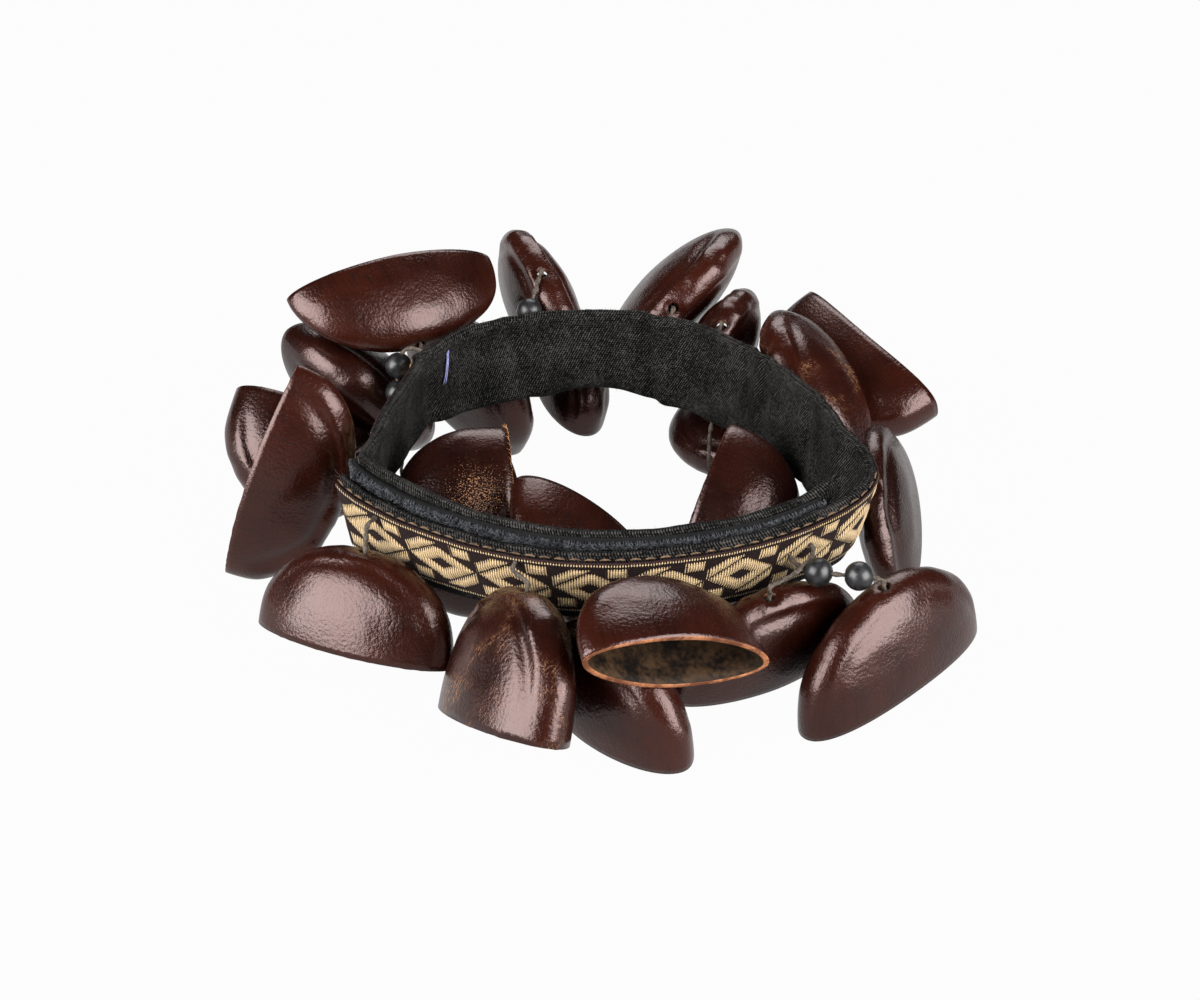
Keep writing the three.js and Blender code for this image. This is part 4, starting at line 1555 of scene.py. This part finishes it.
@dataclass
class Needlework:
    """Stitches, pile, lint and frayed threads on the strap."""

    bench: Bench
    band: AnkleBand
    stitch_length: float = 2.1
    stitch_pitch: float = 3.0
    stitch_radius: float = 0.24
    stitch_sink: float = 0.12
    stitch_dive: float = 0.18
    fold_gap: float = 3.0
    hem_gap: float = 2.0
    end_gap: float = 1.0
    hem_inset: float = 0.7
    pile_count: int = 4200
    pile_radius: float = 0.075
    pile_sizes: tuple[float, float] = (0.3, 0.75)
    pile_height: float = 1.3
    pile_cover: float = 3.0
    pressed_count: int = 1800
    pressed_rise: float = 0.35
    hook_count: int = 900
    lint_count: int = 1500
    lint_radius: float = 0.035
    lint_lengths: tuple[float, float] = (0.35, 1.0)
    lint_root: float = 0.3
    upper_share: float = 0.7
    fray_radius: float = 0.09
    fray_lengths: tuple[float, float] = (1.0, 3.2)
    fray_counts: tuple[int, int] = (26, 40)
    root_spread: float = 0.8
    tacks: tuple[tuple[float, float], ...] = ((136.6, 1.4), (137.4, 1.9))
    tack_radius: float = 0.17
    tack_twist: float = 1.2
    tack_low: float = 10.5
    tack_length: float = 8.5
    tack_bow: float = 0.3
    tack_steps: int = 8

    def sewn(self, skin: Skin, start: float, end: float, side: float, height: float) -> None:
        """Adds a row of running stitches to a skin."""
        pitch = math.degrees(self.stitch_pitch / self.band.radius)
        reach = math.degrees(self.stitch_length / self.band.radius) / 2
        for angle in self.band.angles(start, end, pitch):
            path = []
            for share in (-1.0, -0.5, 0.0, 0.5, 1.0):
                spot = angle + share * reach
                sink = -self.stitch_dive * share * share
                lift = side + math.copysign(sink, side) + self.band.ripple(spot, height)
                path.append(self.band.at(spot, lift, height))
            skin.thread(path, lambda share: self.stitch_radius * (0.4 + 2.4 * share * (1 - share)), 6)

    def make_stitches(self) -> None:
        """Makes the hems' stitches on the band and on the flap."""
        band = self.band
        inner = self.stitch_sink - band.thickness / 2
        fixed = Skin()
        flap = Skin()
        hem = Skin()
        for height in (band.hem, band.width - band.hem):
            self.sewn(fixed, band.fold + self.fold_gap, band.tail_end - self.end_gap, inner, height)
            self.sewn(flap, band.flap_end + self.end_gap, band.fold - self.fold_gap, inner, height)
        over = band.thickness / 2
        edge = band.width - self.hem_inset
        self.sewn(hem, band.flap_end + self.end_gap, band.fold - self.hem_gap, over, edge)
        self.sewn(fixed, band.fold + self.hem_gap, band.ribbon_end, over, edge)
        pieces = (
            ("band_stitches", fixed, STITCH, "band"),
            ("flap_stitches", flap, STITCH, "flap"),
            ("flap_hem_thread", hem, HEM_THREAD, "flap"),
        )
        for name, skin, finish, body in pieces:
            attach(self.bench.make(name, skin, (finish,), "lining"), body)

    def make_pile(self, draw: random.Random) -> None:
        """Makes the loop tape's pile and the hook tape's hooks."""
        band = self.band
        loops = Skin()
        face = band.loop_shift + band.loop_thickness / 2
        low, high = (band.width - band.tape_width) / 2, (band.width + band.tape_width) / 2
        for i in range(self.pile_count + self.pressed_count):
            pressed = i >= self.pile_count
            angle = draw.uniform(band.loop_start, band.tail_end - band.tape_inset)
            cover = band.width - band.drop(angle - 360.0) - self.pile_cover
            height = draw.uniform(low, cover) if pressed else draw.uniform(cover, high)
            rise = self.pressed_rise if pressed else 1.0
            self.arch(loops, draw, angle, face - band.shift(angle), height, math.pi, rise)
        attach(self.bench.make("loop_pile", loops, (PILE,), "hook_and_loop"), "band")
        hooks = Skin()
        back = band.hook_shift - band.hook_thickness / 2
        for _ in range(self.hook_count):
            angle = draw.uniform(band.flap_end + band.tape_inset, band.fold - band.tape_inset)
            height = (band.width + draw.uniform(-1.0, 1.0) * band.hook_width) / 2
            side = back - band.shift(angle)
            self.arch(hooks, draw, angle, side, height, 0.75 * math.pi, -self.pressed_rise)
        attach(self.bench.make("tape_hooks", hooks, (PILE,), "hook_and_loop"), "flap")

    def arch(
        self,
        skin: Skin,
        draw: random.Random,
        angle: float,
        side: float,
        height: float,
        bend: float,
        rise: float,
    ) -> None:
        """Adds one loop or hook of fine thread.

        Args:
            skin: What it is added to.
            draw: Where its irregularity comes from.
            angle: Degrees along the strap.
            side: The tape's face.
            height: Up from the lower edge.
            bend: How far round it goes.
            rise: How high it stands, negative towards the inside.
        """
        base = self.band.at(angle, side, height)
        across, face, _ = self.band.axes(angle)
        lie = draw.uniform(0.0, math.pi)
        flat = across * math.cos(lie) + face.cross(across) * math.sin(lie)
        size = draw.uniform(*self.pile_sizes)
        steps = 5
        path = []
        for i in range(steps + 1):
            turn = bend * i / steps
            lift = face * size * rise * self.pile_height * math.sin(turn)
            path.append(base - flat * size * math.cos(turn) + lift)
        skin.thread(path, lambda share: self.pile_radius, 3)

    def make_lint(self, draw: random.Random) -> None:
        """Makes the fluff on the hems and the frayed threads at the strap's two ends."""
        band = self.band
        fixed = Skin()
        flap = Skin()
        for _ in range(self.lint_count):
            angle = draw.uniform(band.flap_end, band.tail_end)
            across, face, _ = band.axes(angle)
            upper = draw.random() < self.upper_share
            sign = 1.0 if upper else -1.0
            height = band.edge_rise(angle, upper) + (band.width if upper else 0.0)
            side = draw.uniform(-self.root_spread, self.root_spread)
            root = band.at(angle, side + band.ripple(angle, height), height - sign * self.lint_root)
            way = across * sign + face * draw.uniform(-1, 1) + face.cross(across) * draw.uniform(-1, 1)
            skin = flap if angle < band.fold else fixed
            add_hair(skin, draw, root, way, draw.uniform(*self.lint_lengths), self.lint_radius)
        ends = ((band.tail_end, fixed, -1.0), (band.flap_end, flap, 1.0))
        for (end, skin, sign), count in zip(ends, self.fray_counts):
            across, face, _ = band.axes(end)
            out = face.cross(across) * sign
            for _ in range(count):
                side = draw.uniform(-self.root_spread, self.root_spread)
                root = band.at(end, side, draw.uniform(1.0, band.width))
                way = out + across * draw.uniform(-0.5, 0.7) + face * draw.uniform(-0.4, 0.4)
                add_hair(skin, draw, root, way, draw.uniform(*self.fray_lengths), self.fray_radius)
        for name, skin, body in (("band_lint", fixed, "band"), ("flap_lint", flap, "flap")):
            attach(self.bench.make(name, skin, (LINT,), "lining"), body)

    def make_tack(self) -> None:
        """Makes the violet thread that tacks the lining near its left corner."""
        skin = Skin()
        inner = -(self.band.thickness / 2 + 0.1)
        for angle, lean in self.tacks:
            path = []
            for i in range(self.tack_steps + 1):
                share = i / self.tack_steps
                height = self.tack_low + self.tack_length * share
                spot = angle - lean * share
                bow = -self.tack_bow * math.sin(math.pi * share)
                path.append(self.band.at(spot, inner + bow + self.band.ripple(spot, height), height))
            skin.thread(path, lambda share: self.tack_radius, 6, 2, self.tack_twist)
        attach(self.bench.make("tack_thread", skin, (TACK,), "lining"), "band")


@dataclass
class Strap:
    """Assembles the strap's cloth, ribbon, tapes and needlework."""

    bench: Bench
    band: AnkleBand

    def make(self) -> None:
        """Makes every piece of the strap."""
        band = self.band
        middle = band.width / 2
        start = self.bench.centre + band.at(band.fold + band.fold_reach, 0.0, middle) * MM
        end = self.bench.centre + band.at(band.fold - band.fold_reach, 0.0, middle) * MM
        sheets = (
            ("lining", COTTON, band.lining, band.tail_end),
            ("ribbon", RIBBON, band.ribbon, band.ribbon_end),
        )
        for sheet, finish, cut, back_end in sheets:
            front = self.bench.make(f"front_{sheet}", cut(band.flap_end, band.seam), (finish,), sheet)
            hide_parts(f"flap_{sheet}")
            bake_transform(front)
            back = self.bench.make(f"back_{sheet}", cut(band.seam, back_end), (finish,), sheet)
            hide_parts(f"band_{sheet}")
            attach(back, "band")
        loop = band.tape(band.loop_start, band.tail_end - band.tape_inset, band.tape_width,
                         band.loop_thickness, band.loop_shift)
        hook = band.tape(band.flap_end + band.hook_inset, band.fold - band.tape_inset, band.hook_width,
                         band.hook_thickness, band.hook_shift)
        for kind, skin, body in (("loop", loop, "band"), ("hook", hook, "flap")):
            piece = self.bench.make(f"{kind}_strip", skin, (TAPE,), "hook_and_loop")
            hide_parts(f"{kind}_tape")
            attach(piece, body)
        work = Needlework(self.bench, band)
        draw = random.Random(11)
        work.make_stitches()
        work.make_pile(draw)
        work.make_lint(draw)
        work.make_tack()


@dataclass
class Studio:
    """White page, soft lamps and the camera at the photograph's angle, in metres and degrees."""

    centre: Vector
    elevation: float = 30.0
    distance: float = 0.6
    aim: tuple[float, float, float] = (-0.0024, 0.0, 0.0205)
    lens: float = 82.8
    sensor: float = 36.0
    floor_half: float = 3.0
    world: float = 0.025

    def make(self) -> None:
        """Makes the floor, the lamps, the world and the camera."""
        self.make_floor()
        self.make_lamp("left_softbox", (-0.8, -0.5, 0.38), 0.95, 31.0)
        self.make_lamp("right_softbox", (0.8, -0.55, 0.38), 0.95, 30.0)
        self.make_lamp("back_softbox", (0.1, 0.9, 0.8), 0.7, 6.0)
        self.make_world()
        self.make_camera()

    def make_floor(self) -> None:
        """Makes the white floor."""
        half = self.floor_half
        mesh = bpy.data.meshes.new("page")
        corners = [(-half, -half, 0.0), (half, -half, 0.0), (half, half, 0.0), (-half, half, 0.0)]
        mesh.from_pydata(corners, [], [(0, 1, 2, 3)])
        mesh.materials.append(WhiteStage("white_page").material())
        page = bpy.data.objects.new("page", mesh)
        bpy.context.collection.objects.link(page)

    def make_lamp(self, name: str, place: tuple[float, float, float], size: float, power: float) -> None:
        """Makes one softbox that faces the rattle.

        Args:
            name: Its name.
            place: Where it stands.
            size: Its width.
            power: Its watts.
        """
        light = bpy.data.lights.new(name, "AREA")
        light.shape = "SQUARE"
        light.size = size
        light.energy = power
        lamp = bpy.data.objects.new(name, light)
        lamp.location = place
        lamp.rotation_euler = (-Vector(place)).to_track_quat("-Z", "Y").to_euler()
        bpy.context.collection.objects.link(lamp)

    def make_world(self) -> None:
        """Makes the pale surroundings."""
        world = bpy.data.worlds.new("pale_room")
        world.use_nodes = True
        tree = world.node_tree
        tree.nodes["Background"].inputs["Strength"].default_value = self.world
        tree.nodes["Background"].inputs["Color"].default_value = (1.0, 1.0, 1.0, 1.0)
        bpy.context.scene.world = world

    def make_camera(self) -> None:
        """Makes the camera."""
        data = bpy.data.cameras.new("camera")
        data.lens = self.lens
        data.sensor_width = self.sensor
        data.sensor_fit = "HORIZONTAL"
        data.clip_start = 0.01
        camera = bpy.data.objects.new("camera", data)
        tilt = math.radians(self.elevation)
        target = self.centre + Vector(self.aim)
        camera.location = target + Vector((0.0, -math.cos(tilt), math.sin(tilt))) * self.distance
        camera.rotation_euler = (math.pi / 2 - tilt, 0.0, 0.0)
        bpy.context.collection.objects.link(camera)
        bpy.context.scene.camera = camera


def ring_middle(record: dict) -> Vector:
    """The ankle ring's middle on the ground, from the record's mount."""
    mount = next(mount for mount in record["mounts"] if mount["name"] == "ankle_ring")
    return Vector((mount["pos_m"][0], mount["pos_m"][1], 0.0))


def main() -> None:
    """Builds the rattle's pieces and its studio."""
    logging.basicConfig(level=logging.INFO, format="%(name)s %(message)s")
    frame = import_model()
    bpy.context.scene.view_settings.view_transform = "Standard"
    centre = ring_middle(frame["record"])
    Studio(centre).make()
    bench = Bench(centre)
    band = AnkleBand()
    Strap(bench, band).make()
    shells = ShellMaker(bench)
    cords = CordMaker(bench, band)
    for shell in SHELLS:
        place = shells.make(shell)
        cords.make(shell, place)


if __name__ == "__main__":
    main()
